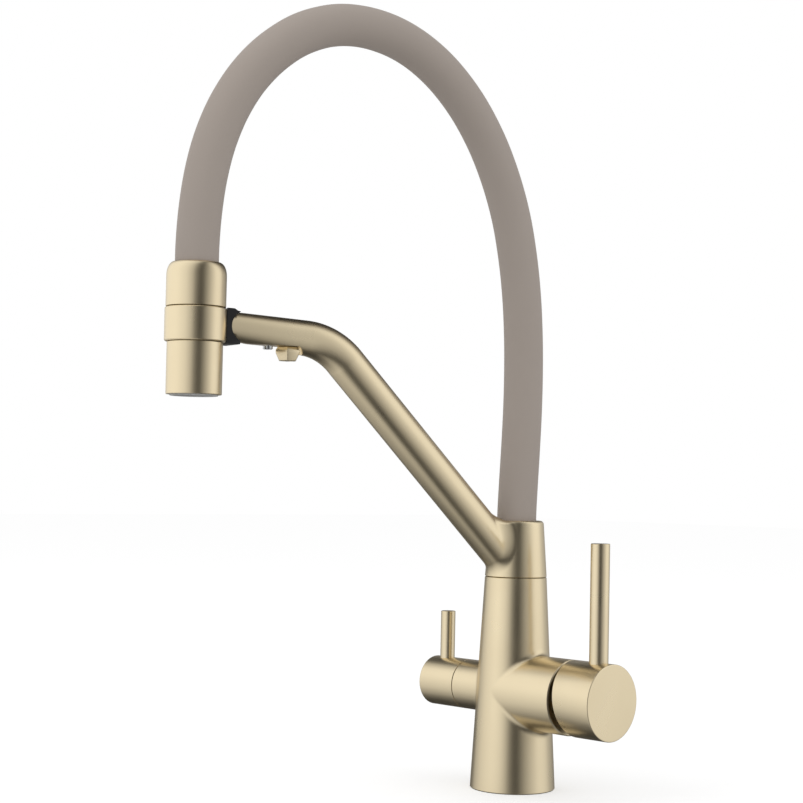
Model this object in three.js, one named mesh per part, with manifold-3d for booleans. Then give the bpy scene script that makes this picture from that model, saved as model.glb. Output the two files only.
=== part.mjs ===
// Kitchen tap with three waterways: hot and cold through a lever mixer, filtered water through
// a small side valve. A slanting arm swivels on the body, carries the filtered outlet and holds
// the pull-off spray head, which a silicone hose feeds over the top.
//
// Millimetres, +Z up. The origin is the centre of the underside of the base. The mixer looks
// along +X, the filter valve along -X, and the front is -Y.

import * as THREE from 'three';
import { mergeVertices } from 'three/addons/utils/BufferGeometryUtils.js';
import Module from 'manifold-3d';

const wasm = await Module();
wasm.setup();

// ---------------------------------------------------------------- driving dimensions

// shared fits
const fit = 0.3;               // gap between pieces that sit in or on one another
const seam = 0.4;              // gap that shows between two outer pieces

// tap body
const baseRadius = 25.2;
const shoulderRadius = 18.4;
const bodyHeight = 124.8;
const baseChamfer = 0.6;
const baseCavityRadius = 19;
const baseCavityDepth = 22;
const gasketInner = 22.2;
const gasketOuter = 23.9;
const gasketThickness = 1.2;
const valveAxisHeight = 57.6;  // height of both valve axes
const inletOffset = 10.5;      // of each supply socket from the body axis
const inletSocketRadius = 5;
const inletSocketDepth = 12;
const supplyBore = 3.2;
const filteredBore = 2.4;
const studSocketRadius = 3.4;
const studSocketDepth = 10;
const mixedWaterBore = 4.2;
const mixedWaterOffset = -2.5;
const filteredRiserBore = 1.7;
const filteredRiserOffset = -15.2;
const filteredRiserDrop = 12.8; // of the riser's top below the top of the body
const bossChamfer = 0.6;

// swivel between body and collar
const shankRadius = 10.7;
const shankLength = 18;
const spigotRadius = 13;
const spigotHeight = 26.5;     // above its seat on the body
const spigotSeatDepth = 1.1;
const spigotBore = 5;
const oRingSection = 0.95;
const lowerORing = 7;          // heights above the spigot seat
const upperORing = 21.6;
const filteredPort = 13.5;
const filteredChannelOffset = 8;
const filteredChannelBore = 1.5;
const filteredPortBore = 1.2;
const feedGrooveDepth = 0.7;
const washerOuter = 16.7;
const washerThickness = 0.9;
const retainerHeight = 24.2;   // above the spigot seat
const retainerThickness = 1.2;
const retainerBite = 1.1;      // how far the ring reaches into the spigot and into the collar

// collar and arm of the spout
const collarHeight = 33.3;
const collarTopRadius = 16.1;
const collarRound = 2;
const collarLipDepth = 5.5;    // the lip round the hose, above the swivel bore
const spoutAzimuth = -100;     // degrees; straight ahead is -90
const armRootRise = 1.9;       // from the seam to where the slanting centre line meets the body axis
const armSlope = 44.15;        // degrees above level
const armCornerReach = 134.1;
const armEndRise = 4.4;        // degrees above level, of the outer run
const armBendTangent = 15;
const armRadius = 11;
const armTipRadius = 7.7;
const armTipReach = 199.3;
const armDuctRadius = 2.8;
const armDuctBeyond = 3.2;     // the duct runs on past the filtered outlet
const cheekLength = 8.8;       // of the rounded outline of the tip
const cheekRise = 0.7;         // of that outline beyond the tip's radius
const notchDepth = 5.5;        // the tip is cut back this far above and below its two cheeks
const socketRadius = 6.4;      // in the tip of the arm, for the tang of the dock
const socketDepth = 31.3;
const flatDrop = 6.2;          // of the flat under the outer run, below the centre line
const flatEndRadius = 9;       // of the end of that flat, round the filtered outlet

// filtered water outlet under the arm
const outletFromTip = 39;      // from the tip of the arm to the outlet's axis
const outletHexRadius = 7.6;
const outletHexDepth = 2.4;
const outletTipRadius = 4.9;
const outletLength = 7.6;
const outletShankRadius = 3.2;
const outletShankLength = 4.6;
const outletBore = 2.1;
const outletMouthRadius = 3;
const outletMouthDepth = 4;
const outletJets = 4;
const outletJetCircle = 1.4;
const outletJetRadius = 0.6;

// dock
const screwFromTip = 26.5;     // from the tip of the arm to the screw's axis
const screwHeadRadius = 2.7;
const screwHeadHeight = 1.8;
const screwHeadGap = 0.4;      // between the head and the flat
const screwSlotHalf = 0.4;
const screwSlotDepth = 0.6;
const screwShankRadius = 1.6;
const screwShankLength = 5.6;
const dockDrop = 0.85;         // of the dock's axis below the arm's centre line at its tip
const dockHalfHeight = 9.6;
const dockHalfWidth = 8.3;
const dockLength = 12.5;
const dockShoulder = 3.7;      // length of the lower part of the block's top, beside the arm
const dockSlopeLength = 2.4;
const dockSlopeDrop = 1.3;
const dockMagnetRadius = 4.8;
const dockMagnetLength = 3.4;

// spray head
const headFromTip = 17.7;      // from the tip of the arm to the head's axis
const barrelLength = 27.8;
const barrelRadius = 14.9;
const barrelWall = 1.7;
const ringRadius = 16.45;
const ringBevel = 0.6;
const ringBelow = 9.45;        // from the dock's axis down to the barrel
const ringAbove = 9.05;        // from the dock's axis up to the cap
const capHeight = 24.1;
const capRadius = 16.05;
const capShoulderWidth = 3.7;
const capShoulderHeight = 7.2;
const capLipDepth = 5.6;
const coreRadius = 13.85;
const coreDrop = 10;           // of the core's top below the top of the cap
const coreBore = 4.6;
const coreSpigotLength = 13;
const chamberRadius = 9.5;
const chamberDrop = 3;         // of the chamber's top below the top of the barrel
const barrelORingDrop = 6;
const faceThickness = 4.6;
const faceRecess = 0.6;
const faceJetCircle = 9.7;
const faceJetRadius = 0.7;
const faceJets = 12;
const aeratorRadius = 6.4;
const aeratorHoles = 7;
const aeratorHoleRadius = 0.9;
const headWasherThickness = 1.4;
const headWasherRadius = 8;
const headFlangeThickness = 1.8;
const headNoseLength = 10;
const headMagnetDepth = 3.2;
const nonReturnLength = 10;
const nonReturnDrop = 15;

// hose
const hoseRadius = 11.7;
const hoseFit = 0.5;
const hoseRise = 285;          // from its lower end to the top of its arch

// mixer valve and handle, as distances from the body axis
const mixerBossRadius = 21.9;
const mixerBossEnd = 46;
const mixerBoreRadius = 18.2;
const mixerBoreBottom = 4;
const cartridgeRadius = 17.5;
const portSealThickness = 1.2;
const cartridgeBaseThickness = 2.5;
const cartridgePlugHeight = 2.7;
const cartridgeWall = 2;
const cartridgeFront = 34;
const cartridgeFrontWall = 2;
const fixedDiscThickness = 3.5;
const movingDiscThickness = 4;
const movingDiscRadius = 12.4;
const movingDiscOffset = 2.6;  // below the axis when the mixer is closed
const portRadius = 3;
const portCircle = 8.6;         // of the two supply ports, above the axis
const supplyPortTurn = 55;      // degrees either side of straight up
const mixedPortDrop = 4.5;      // of the mixed water port, below the axis
const rotorNeckRadius = 10.1;
const rotorNeckEnd = 36;
const rotorSlotHalfHeight = 8.2;
const rotorSlotHalfWidth = 3.3;
const pivotDistance = 33;
const pivotPinRadius = 1.4;
const spindleHalfWidth = 2.9;
const spindleArmHalfHeight = 2.2;
const spindleEnd = 66;
const spindleSquareStart = 44;
const spindleSquareHalf = 3.4;
const spindleBallRadius = 2.4;
const nutInner = 12.5;
const nutLength = 7;
const nutSlots = 6;
const mixerKnobRadius = 21.9;
const mixerKnobEnd = 75.5;
const mixerKnobBackTop = 46.5;
const mixerKnobBackBottom = 52.5;
const mixerKnobWall = 2;
const mixerFaceThickness = 4;
const mixerHubRadius = 8.4;
const mixerHubStart = 52.4;
const knobChamfer = 0.7;
const mixerPinRadius = 5.5;
const mixerPinDistance = 65.1;
const mixerPinRise = 89.6;     // above the valve axis
const pinSeatDepth = 3;
const pinShankRadius = 3;
const pinShankLength = 5;
const pinChamfer = 0.5;
const grubRadius = 1.8;
const grubLength = 4;

// filter valve and handle, as distances from the body axis
const filterBossRadius = 14.9;
const filterBossEnd = 37.4;
const filterBoreRadius = 9.6;
const filterBoreBottom = 14;
const filterSealThickness = 1.5;
const filterBodyWall = 2;
const filterDiscThickness = 2;
const filterDiscRadius = 6.9;
const filterPortRadius = 1.9;
const filterSealInner = 5.6;
const filterNoseRadius = 8.3;
const filterNoseLength = 6.6;
const filterTongue = 5;        // half the length of the key that turns the moving disc
const filterNeckBore = 3.8;
const filterSpindleRadius = 3.4;
const filterSpindleEnd = 51;
const filterKnobRadius = 14.9;
const filterKnobEnd = 65.6;
const filterKnobWall = 2.2;
const filterHubRadius = 6.6;
const filterHubStart = 40.4;
const filterFaceThickness = 4;
const filterPinRadius = 4.45;
const filterPinDistance = 56.1;
const filterPinRise = 43.2;    // above the valve axis

// smoothness of round surfaces
const wideSides = 40;
const roundSides = 24;
const smallSides = 12;

// ---------------------------------------------------------------- finishes

const finish = (color, roughness, metalness) =>
  () => new THREE.MeshStandardMaterial({ color, roughness, metalness });

const champagne = finish(0xcfc0a0, 0.34, 1);
const champagneFace = finish(0xdccfb2, 0.38, 1);
const brass = finish(0xc9a65a, 0.35, 1);
const steel = finish(0xb9bcc0, 0.3, 1);
const magnetGrey = finish(0x6c6f73, 0.4, 1);
const blackPlastic = finish(0x1c1c1d, 0.5, 0);
const greyPlastic = finish(0xc3c5c6, 0.5, 0);
const whitePlastic = finish(0xe9e7e1, 0.45, 0);
const ceramic = finish(0xf3f1ec, 0.25, 0);
const rubber = finish(0x232323, 0.8, 0);
const taupeSilicone = finish(0x9d948b, 0.75, 0);

// ---------------------------------------------------------------- making solids

const rad = THREE.MathUtils.degToRad;

/** The signed volume of an indexed closed surface. */
function signedVolume(position, index) {
  const [a, b, c] = [new THREE.Vector3(), new THREE.Vector3(), new THREE.Vector3()];
  let sum = 0;
  for (let i = 0; i < index.length; i += 3) {
    a.fromArray(position, 3 * index[i]);
    b.fromArray(position, 3 * index[i + 1]);
    c.fromArray(position, 3 * index[i + 2]);
    sum += a.dot(b.cross(c)) / 6;
  }
  return sum;
}

/** A solid from a closed geometry, with its faces turned outwards. */
function solid(geometry) {
  const bare = geometry.clone();
  bare.deleteAttribute('normal');
  bare.deleteAttribute('uv');
  const merged = mergeVertices(bare, 1e-4);
  const position = merged.attributes.position.array;
  const index = [];
  for (let i = 0; i < merged.index.count; i += 3) {
    const [a, b, c] = [0, 1, 2].map((k) => merged.index.getX(i + k));
    if (a !== b && b !== c && c !== a) index.push(a, b, c);
  }
  if (signedVolume(position, index) < 0) index.reverse();
  const mesh = new wasm.Mesh({
    numProp: 3,
    vertProperties: new Float32Array(position),
    triVerts: new Uint32Array(index),
  });
  return new wasm.Manifold(mesh);
}

/** The geometry of a solid, with flat shading between its facets. */
function geometryOf(body) {
  const mesh = body.getMesh();
  const geometry = new THREE.BufferGeometry();
  geometry.setAttribute('position', new THREE.BufferAttribute(mesh.vertProperties, 3));
  geometry.setIndex(new THREE.BufferAttribute(mesh.triVerts, 1));
  geometry.computeVertexNormals();
  return geometry;
}

/** A named piece. */
function piece(name, body, material) {
  const mesh = new THREE.Mesh(geometryOf(body), material());
  mesh.name = name;
  return mesh;
}

/** The join of several solids. */
const joined = (...bodies) => bodies.reduce((sum, next) => sum.add(next));

/** The first solid less the others. */
const cut = (body, ...tools) => tools.reduce((rest, tool) => rest.subtract(tool), body);

/** A closed outline of [radius, height] points, turned about the Z axis. */
function turned(outline, sides = roundSides) {
  const onAxis = outline[0][0] === 0;
  const points = outline.map(([r, h]) => new THREE.Vector2(r, h));
  if (!onAxis) points.push(points[0].clone());
  return new THREE.LatheGeometry(points, sides).rotateX(Math.PI / 2);
}

/** A round bar on the Z axis from one height to another, with a chamfer at its top if given. */
function bar(radius, from, to, sides = roundSides, chamfer = 0) {
  const end = chamfer ? [[radius, to - chamfer], [radius - chamfer, to]] : [[radius, to]];
  return turned([[0, from], [radius, from], ...end, [0, to]], sides);
}

/** A tube on the Z axis. */
const tube = (inner, outer, from, to, sides = roundSides) =>
  turned([[inner, from], [outer, from], [outer, to], [inner, to]], sides);

/** A ring of round section round the Z axis. */
function oRing(radius, height, section = oRingSection, sides = roundSides) {
  return new THREE.TorusGeometry(radius, section, 6, sides).translate(0, 0, height);
}

/** A block between two corners. */
function block([x0, y0, z0], [x1, y1, z1]) {
  return new THREE.BoxGeometry(x1 - x0, y1 - y0, z1 - z0)
    .translate((x0 + x1) / 2, (y0 + y1) / 2, (z0 + z1) / 2);
}

/** Turns geometry made on the Z axis so that it runs along +X, its +X looking down. */
const alongX = (geometry) => geometry.rotateY(Math.PI / 2);

/** Places geometry made about the Z axis with its axis at x, y. */
const at = (geometry, x, y) => geometry.translate(x, y, 0);

/** A plate from a shape drawn in the X-Z plane, of the given width across Y. */
function plateXZ(shape, halfWidth, curveSegments = 16) {
  return new THREE.ExtrudeGeometry(shape, {
    depth: 2 * halfWidth, bevelEnabled: false, curveSegments,
  }).rotateX(Math.PI / 2).translate(0, halfWidth, 0);
}

/** A shape from a list of [x, y] corners. */
const shapeOf = (corners) => new THREE.Shape(corners.map(([x, y]) => new THREE.Vector2(x, y)));

/** A tube that may taper, through stations that each give a centre [x, z], a slope and a radius. */
function swept(stations, sides) {
  const position = [];
  for (const { centre: [x, z], slope, radius } of stations) {
    for (let i = 0; i < sides; i++) {
      const turn = (2 * Math.PI * i) / sides;
      const lift = radius * Math.cos(turn);
      position.push(x - lift * Math.sin(slope), radius * Math.sin(turn), z + lift * Math.cos(slope));
    }
  }
  const index = [];
  const last = stations.length - 1;
  for (let ring = 0; ring < last; ring++) {
    for (let i = 0; i < sides; i++) {
      const j = (i + 1) % sides;
      const [a, b, c, d] = [ring * sides + i, ring * sides + j, (ring + 1) * sides + j,
        (ring + 1) * sides + i];
      index.push(a, b, c, a, c, d);
    }
  }
  for (const [ring, flip] of [[0, false], [last, true]]) {
    const hub = position.length / 3;
    position.push(stations[ring].centre[0], 0, stations[ring].centre[1]);
    for (let i = 0; i < sides; i++) {
      const [a, b] = [ring * sides + i, ring * sides + ((i + 1) % sides)];
      index.push(...(flip ? [hub, a, b] : [hub, b, a]));
    }
  }
  const geometry = new THREE.BufferGeometry();
  geometry.setAttribute('position', new THREE.Float32BufferAttribute(position, 3));
  geometry.setIndex(index);
  return geometry;
}

// ---------------------------------------------------------------- shared places

const spigotSeat = bodyHeight - spigotSeatDepth;
const collarBottom = bodyHeight + seam;
const collarTop = collarBottom + collarHeight;
const collarBore = spigotRadius + fit;
const swivelBoreTop = collarTop - collarLipDepth;
const filteredRiserTop = bodyHeight - filteredRiserDrop;
const armStart = [0, collarBottom + armRootRise];
const armCorner = [armCornerReach, armStart[1] + armCornerReach * Math.tan(rad(armSlope))];
const outerRun = (reach) => armCorner[1] + (reach - armCornerReach) * Math.tan(rad(armEndRise));
const outletReach = armTipReach - outletFromTip;
const dockScrewReach = armTipReach - screwFromTip;
const socketReach = armTipReach - socketDepth;
const cheekReach = armTipReach - cheekLength;
const notchReach = armTipReach - notchDepth;
const headReach = armTipReach + headFromTip;
const flatHeight = outerRun(outletReach) - flatDrop;
const dockAxisHeight = outerRun(armTipReach) - dockDrop;
const barrelTop = dockAxisHeight - ringBelow;
const barrelBottom = barrelTop - barrelLength;
const ringTop = dockAxisHeight + ringAbove;
const capTop = ringTop + capHeight;
const coreTop = capTop - coreDrop;
const hoseHole = hoseRadius + hoseFit;
const hoseStart = swivelBoreTop;
const hoseEnd = capTop - capLipDepth - fit;
const bodyRadiusAt = (z) => baseRadius + (shoulderRadius - baseRadius) * z / bodyHeight;

// ---------------------------------------------------------------- tap body

/** The casting: tapered column, two valve bosses and the waterways between them. */
function tapBody() {
  const column = turned([
    [0, 0], [baseRadius - baseChamfer, 0], [bodyRadiusAt(baseChamfer), baseChamfer],
    [shoulderRadius, bodyHeight], [0, bodyHeight],
  ], wideSides);
  const raise = (geometry) => geometry.translate(0, 0, valveAxisHeight);
  const mixerBoss = raise(alongX(bar(mixerBossRadius, 0, mixerBossEnd, wideSides, bossChamfer)));
  const filterBoss = raise(alongX(bar(filterBossRadius, -filterBossEnd, 0, roundSides)));
  const mixerBore = raise(alongX(
    bar(mixerBoreRadius, mixerBoreBottom, mixerBossEnd + 1, roundSides)));
  const filterBore = raise(alongX(
    bar(filterBoreRadius, -filterBossEnd - 1, -filterBoreBottom, roundSides)));

  const floor = baseCavityDepth;
  const socketTop = floor + inletSocketDepth;
  const cavity = bar(baseCavityRadius, -1, floor, roundSides);
  const gasketGroove = tube(gasketInner - fit, gasketOuter + fit, -1, gasketThickness + fit);
  const studSocket = at(bar(studSocketRadius, floor - 1, floor + studSocketDepth, smallSides),
    inletOffset, 0);

  const supply = (side) => {
    const socket = at(bar(inletSocketRadius, floor - 1, socketTop, smallSides),
      0, side * inletOffset);
    const portHeight = valveAxisHeight + portCircle * Math.cos(rad(supplyPortTurn));
    const riser = at(bar(supplyBore, socketTop - 1, portHeight + 1, smallSides),
      0, side * inletOffset);
    const port = alongX(bar(portRadius, 0, mixerBoreBottom + 1, smallSides))
      .translate(0, side * portCircle * Math.sin(rad(supplyPortTurn)), portHeight);
    return [socket, riser, port];
  };
  const filteredSupply = [
    at(bar(inletSocketRadius, floor - 1, socketTop, smallSides), -inletOffset, 0),
    at(bar(filteredBore, socketTop - 1, valveAxisHeight, smallSides), -inletOffset, 0),
    raise(alongX(bar(filteredBore, -filterBoreBottom - 1, -inletOffset, smallSides))),
  ];
  const mixedOutlet = [
    alongX(bar(portRadius, mixedWaterOffset, mixerBoreBottom + 1, smallSides))
      .translate(0, 0, valveAxisHeight - mixedPortDrop),
    at(bar(mixedWaterBore, valveAxisHeight - mixedPortDrop - 1, spigotSeat - shankLength, smallSides),
      mixedWaterOffset, 0),
  ];
  const filteredRiser = [
    at(bar(filteredRiserBore, valveAxisHeight + filterBoreRadius - 2, filteredRiserTop, smallSides),
      filteredRiserOffset, 0),
    alongX(bar(filteredRiserBore, filteredRiserOffset, -shankRadius + 1, smallSides))
      .translate(0, 0, filteredRiserTop),
  ];
  const spigotThread = bar(shankRadius + fit, spigotSeat - shankLength - 1, bodyHeight + 1,
    roundSides);
  const washerSeat = bar(washerOuter + fit, spigotSeat, bodyHeight + 1, wideSides);

  const casting = joined(solid(column), solid(mixerBoss), solid(filterBoss));
  const hollows = [mixerBore, filterBore, cavity, gasketGroove, studSocket, ...supply(1),
    ...supply(-1), ...filteredSupply, ...mixedOutlet, ...filteredRiser, spigotThread, washerSeat];
  return piece('tap_body', cut(casting, ...hollows.map(solid)), champagne);
}

/** The rubber ring in the groove of the base. */
const baseGasket = () => piece('base_gasket',
  solid(tube(gasketInner, gasketOuter, 0, gasketThickness, wideSides)), rubber);

// ---------------------------------------------------------------- swivel

/** The hollow spigot that the collar turns on, with grooves and the filtered water channel. */
function swivelSpigot() {
  const seat = spigotSeat + fit;
  const top = seat + spigotHeight;
  const post = joined(
    solid(bar(shankRadius, spigotSeat - shankLength, seat + 1, roundSides)),
    solid(bar(spigotRadius, seat, top, roundSides)));
  const grooveFloor = spigotRadius - 2 * oRingSection - fit;
  const grooves = [lowerORing, upperORing].map((height) => tube(grooveFloor, spigotRadius + 1,
    seat + height - oRingSection - fit, seat + height + oRingSection + fit));
  const retainerGroove = tube(spigotRadius - retainerBite - fit, spigotRadius + 1,
    seat + retainerHeight - fit, seat + retainerHeight + retainerThickness + fit);
  const feedGroove = tube(shankRadius - feedGrooveDepth, shankRadius + 1,
    filteredRiserTop - filteredRiserBore, filteredRiserTop + filteredRiserBore);
  const channel = at(bar(filteredChannelBore, filteredRiserTop - filteredChannelBore,
    seat + filteredPort + filteredChannelBore, smallSides), -filteredChannelOffset, 0);
  const ports = [filteredRiserTop, seat + filteredPort].map((height) =>
    alongX(bar(filteredPortBore, -spigotRadius - 1, -filteredChannelOffset, smallSides))
      .translate(0, 0, height));
  const waterway = bar(spigotBore, 0, top + 1, smallSides);
  return piece('swivel_spigot',
    cut(post, ...[...grooves, retainerGroove, feedGroove, channel, ...ports, waterway].map(solid)),
    brass);
}

/** The two O-rings that keep the filtered water apart, and the plastic washer under the collar. */
function swivelSeals() {
  const seat = spigotSeat + fit;
  const radius = spigotRadius - oRingSection;
  return [
    piece('spigot_o_ring_lower', solid(oRing(radius, seat + lowerORing)), rubber),
    piece('spigot_o_ring_upper', solid(oRing(radius, seat + upperORing)), rubber),
    piece('swivel_washer', solid(
      tube(collarBore + fit, washerOuter, seat, seat + washerThickness)), blackPlastic),
  ];
}

// ---------------------------------------------------------------- mixer

/** The mixer's own frame: its Z axis looks out along +X, and its X axis looks up. */
function valveFrame(outwards) {
  const frame = new THREE.Group();
  frame.position.z = valveAxisHeight;
  frame.rotation.set(0, outwards * Math.PI / 2, outwards > 0 ? Math.PI : 0);
  return frame;
}

/** Three round ports: two supplies above on either side and the mixed outlet below. */
function portHoles(from, to) {
  const supplies = [-supplyPortTurn, supplyPortTurn].map((turn) =>
    [portCircle * Math.cos(rad(turn)), portCircle * Math.sin(rad(turn))]);
  return [...supplies, [-mixedPortDrop, 0]].map(([x, y]) =>
    at(bar(portRadius, from, to, smallSides), x, y));
}

/** What the cartridge holds still: seal, base, shell, fixed disc and the nut over them. */
function cartridgeStack() {
  const sealStart = mixerBoreBottom + fit;
  const baseStart = sealStart + portSealThickness + fit;
  const plugStart = baseStart + cartridgeBaseThickness;
  const discStart = plugStart + cartridgePlugHeight + fit;
  const shellInner = cartridgeRadius - cartridgeWall;
  const ports = portHoles(0, discStart + fixedDiscThickness + 1).map(solid);
  const shell = cut(
    solid(tube(shellInner, cartridgeRadius, plugStart + fit, cartridgeFront)),
  ).add(solid(tube(rotorNeckRadius + fit, cartridgeRadius,
    cartridgeFront - cartridgeFrontWall, cartridgeFront)));
  const base = joined(
    solid(bar(cartridgeRadius, baseStart, plugStart)),
    solid(bar(shellInner - fit, plugStart - 1, plugStart + cartridgePlugHeight)));
  const nutStart = cartridgeFront + fit;
  const nutOuter = mixerBoreRadius - fit;
  const slots = Array.from({ length: nutSlots }, (_, i) => solid(
    block([-1.5, nutInner - 1, nutStart + nutLength - 2.5], [1.5, nutOuter - 2, nutStart + nutLength + 1])
      .rotateZ((2 * Math.PI * i) / nutSlots)));
  return [
    piece('cartridge_base_seal', cut(
      solid(bar(cartridgeRadius - 1, sealStart, sealStart + portSealThickness)), ...ports), rubber),
    piece('cartridge_base', cut(base, ...ports), whitePlastic),
    piece('cartridge_shell', shell, whitePlastic),
    piece('cartridge_fixed_disc', cut(
      solid(bar(shellInner - 2 * fit, discStart, discStart + fixedDiscThickness)), ...ports), ceramic),
    piece('cartridge_nut', cut(
      solid(tube(nutInner, nutOuter, nutStart, nutStart + nutLength)), ...slots), brass),
  ];
}

const fixedDiscFace = mixerBoreBottom + fit + portSealThickness + fit + cartridgeBaseThickness
  + cartridgePlugHeight + fit + fixedDiscThickness;
const movingDiscStart = fixedDiscFace + fit;
const movingDiscEnd = movingDiscStart + movingDiscThickness;
const pocketDepth = 2.2;

/** The ceramic disc that slides over the ports, with the pocket that the spindle moves it by. */
function movingDisc() {
  const disc = at(bar(movingDiscRadius, movingDiscStart, movingDiscEnd), -movingDiscOffset, 0);
  const pocket = bar(spindleBallRadius + fit, movingDiscEnd - pocketDepth, movingDiscEnd + 1, smallSides);
  const mixing = at(bar(movingDiscRadius / 2, movingDiscStart - 1, movingDiscStart + 1, roundSides),
    -movingDiscOffset, 0);
  return piece('cartridge_moving_disc', cut(solid(disc), solid(pocket), solid(mixing)), ceramic);
}

/** The rotor that turns with the handle, and the pin that the spindle tilts on. */
function rotor() {
  const start = movingDiscEnd + fit;
  const shellInner = cartridgeRadius - cartridgeWall;
  const body = joined(
    solid(bar(shellInner - fit, start, cartridgeFront - cartridgeFrontWall - fit)),
    solid(bar(rotorNeckRadius, start, rotorNeckEnd)));
  const slot = block([-rotorSlotHalfHeight, -rotorSlotHalfWidth, start - 1],
    [rotorSlotHalfHeight, rotorSlotHalfWidth, rotorNeckEnd + 1]);
  const crossHole = bar(pivotPinRadius + fit, -rotorNeckRadius - 6, rotorNeckRadius + 6, smallSides)
    .rotateX(Math.PI / 2).translate(0, 0, pivotDistance);
  const pin = bar(pivotPinRadius, -rotorNeckRadius + 0.6, rotorNeckRadius - 0.6, smallSides)
    .rotateX(Math.PI / 2).translate(0, 0, pivotDistance);
  return [
    piece('cartridge_rotor', cut(body, solid(slot), solid(crossHole)), greyPlastic),
    piece('cartridge_pivot_pin', solid(pin), steel),
  ];
}

/** The spindle: a ball in the moving disc, an eye on the pivot pin and a square in the knob. */
function spindle() {
  const ballCentre = movingDiscEnd - pocketDepth + spindleBallRadius + fit;
  const ball = new THREE.SphereGeometry(spindleBallRadius, 12, 8).translate(0, 0, ballCentre);
  const arm = block([-spindleArmHalfHeight, -spindleArmHalfHeight, ballCentre],
    [spindleArmHalfHeight, spindleArmHalfHeight, pivotDistance]);
  const eye = bar(2 * pivotPinRadius + 0.8, -spindleHalfWidth, spindleHalfWidth, roundSides)
    .rotateX(Math.PI / 2).translate(0, 0, pivotDistance);
  const neck = block([-spindleHalfWidth, -spindleHalfWidth, pivotDistance],
    [spindleHalfWidth, spindleHalfWidth, spindleSquareStart + 1]);
  const square = block([-spindleSquareHalf, -spindleSquareHalf, spindleSquareStart],
    [spindleSquareHalf, spindleSquareHalf, spindleEnd]);
  const hole = bar(pivotPinRadius + fit, -spindleHalfWidth - 1, spindleHalfWidth + 1, smallSides)
    .rotateX(Math.PI / 2).translate(0, 0, pivotDistance);
  return piece('cartridge_spindle',
    cut(joined(...[ball, arm, eye, neck, square].map(solid)), solid(hole)), steel);
}

/** A lever pin that stands up from a knob, with a thinner shank screwed into it. */
function leverPin(name, radius, distance, knobRadius, rise) {
  const seat = knobRadius - pinSeatDepth;
  const body = joined(
    solid(bar(radius, seat + fit, rise, roundSides, pinChamfer)),
    solid(bar(pinShankRadius, seat - pinShankLength, seat + 1, smallSides)));
  const mesh = piece(name, body, champagne);
  mesh.rotation.y = Math.PI / 2;
  mesh.position.z = distance;
  return mesh;
}

/** The socket of a lever pin, as cutters in the valve's frame. */
function pinSocket(radius, distance, knobRadius) {
  const seat = knobRadius - pinSeatDepth;
  return [
    bar(radius + fit, seat, knobRadius + 1, roundSides),
    bar(pinShankRadius + fit, seat - pinShankLength - fit, seat + 1, smallSides),
  ].map((geometry) => solid(geometry.rotateY(Math.PI / 2).translate(0, 0, distance)));
}

/** A grub screw that clamps a knob on its spindle from below. */
function grubScrew(name, start, distance) {
  const mesh = piece(name, solid(bar(grubRadius, start, start + grubLength, smallSides)), steel);
  mesh.rotation.y = -Math.PI / 2;
  mesh.position.z = distance;
  return mesh;
}

/** The hole that a grub screw is turned in through, as a cutter in the valve's frame. */
function grubHole(distance, reach) {
  return solid(bar(grubRadius + fit, 0, reach, smallSides)
    .rotateY(-Math.PI / 2).translate(0, 0, distance));
}

/** The mixer's handle: a hollow drum whose back edge slants so that it can tilt over the boss. */
function mixerHandle() {
  const cavityRadius = mixerKnobRadius - mixerKnobWall;
  const faceStart = mixerKnobEnd - mixerFaceThickness;
  const drum = bar(mixerKnobRadius, mixerKnobBackTop - 5, mixerKnobEnd, wideSides, knobChamfer);
  const middle = (mixerKnobBackTop + mixerKnobBackBottom) / 2;
  const slant = Math.atan2(mixerKnobBackBottom - mixerKnobBackTop, 2 * mixerKnobRadius);
  const far = 2 * mixerKnobEnd;
  const behind = block([-far, -far, -far], [far, far, 0]).rotateY(slant).translate(0, 0, middle);
  const cavity = bar(cavityRadius, mixerKnobBackTop - 6, faceStart, wideSides);
  const hub = bar(mixerHubRadius, mixerHubStart, faceStart + 1);
  const pinBoss = bar(mixerPinRadius + 2.4, 0, mixerKnobRadius - mixerKnobWall / 2)
    .rotateY(Math.PI / 2).translate(0, 0, mixerPinDistance - 1.6);
  const shell = joined(cut(solid(drum), solid(cavity), solid(behind)), solid(hub), solid(pinBoss));
  const half = spindleSquareHalf + fit;
  const square = block([-half, -half, mixerHubStart - 4], [half, half, spindleEnd + fit]);
  const knob = cut(shell, solid(square), grubHole(spindleEnd - 5, mixerKnobRadius + 2),
    ...pinSocket(mixerPinRadius, mixerPinDistance, mixerKnobRadius));
  return [
    spindle(),
    piece('mixer_knob', knob, champagneFace),
    leverPin('mixer_lever_pin', mixerPinRadius, mixerPinDistance, mixerKnobRadius, mixerPinRise),
    grubScrew('mixer_grub_screw', spindleSquareHalf + fit, spindleEnd - 5),
  ];
}

// ---------------------------------------------------------------- filter valve

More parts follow.
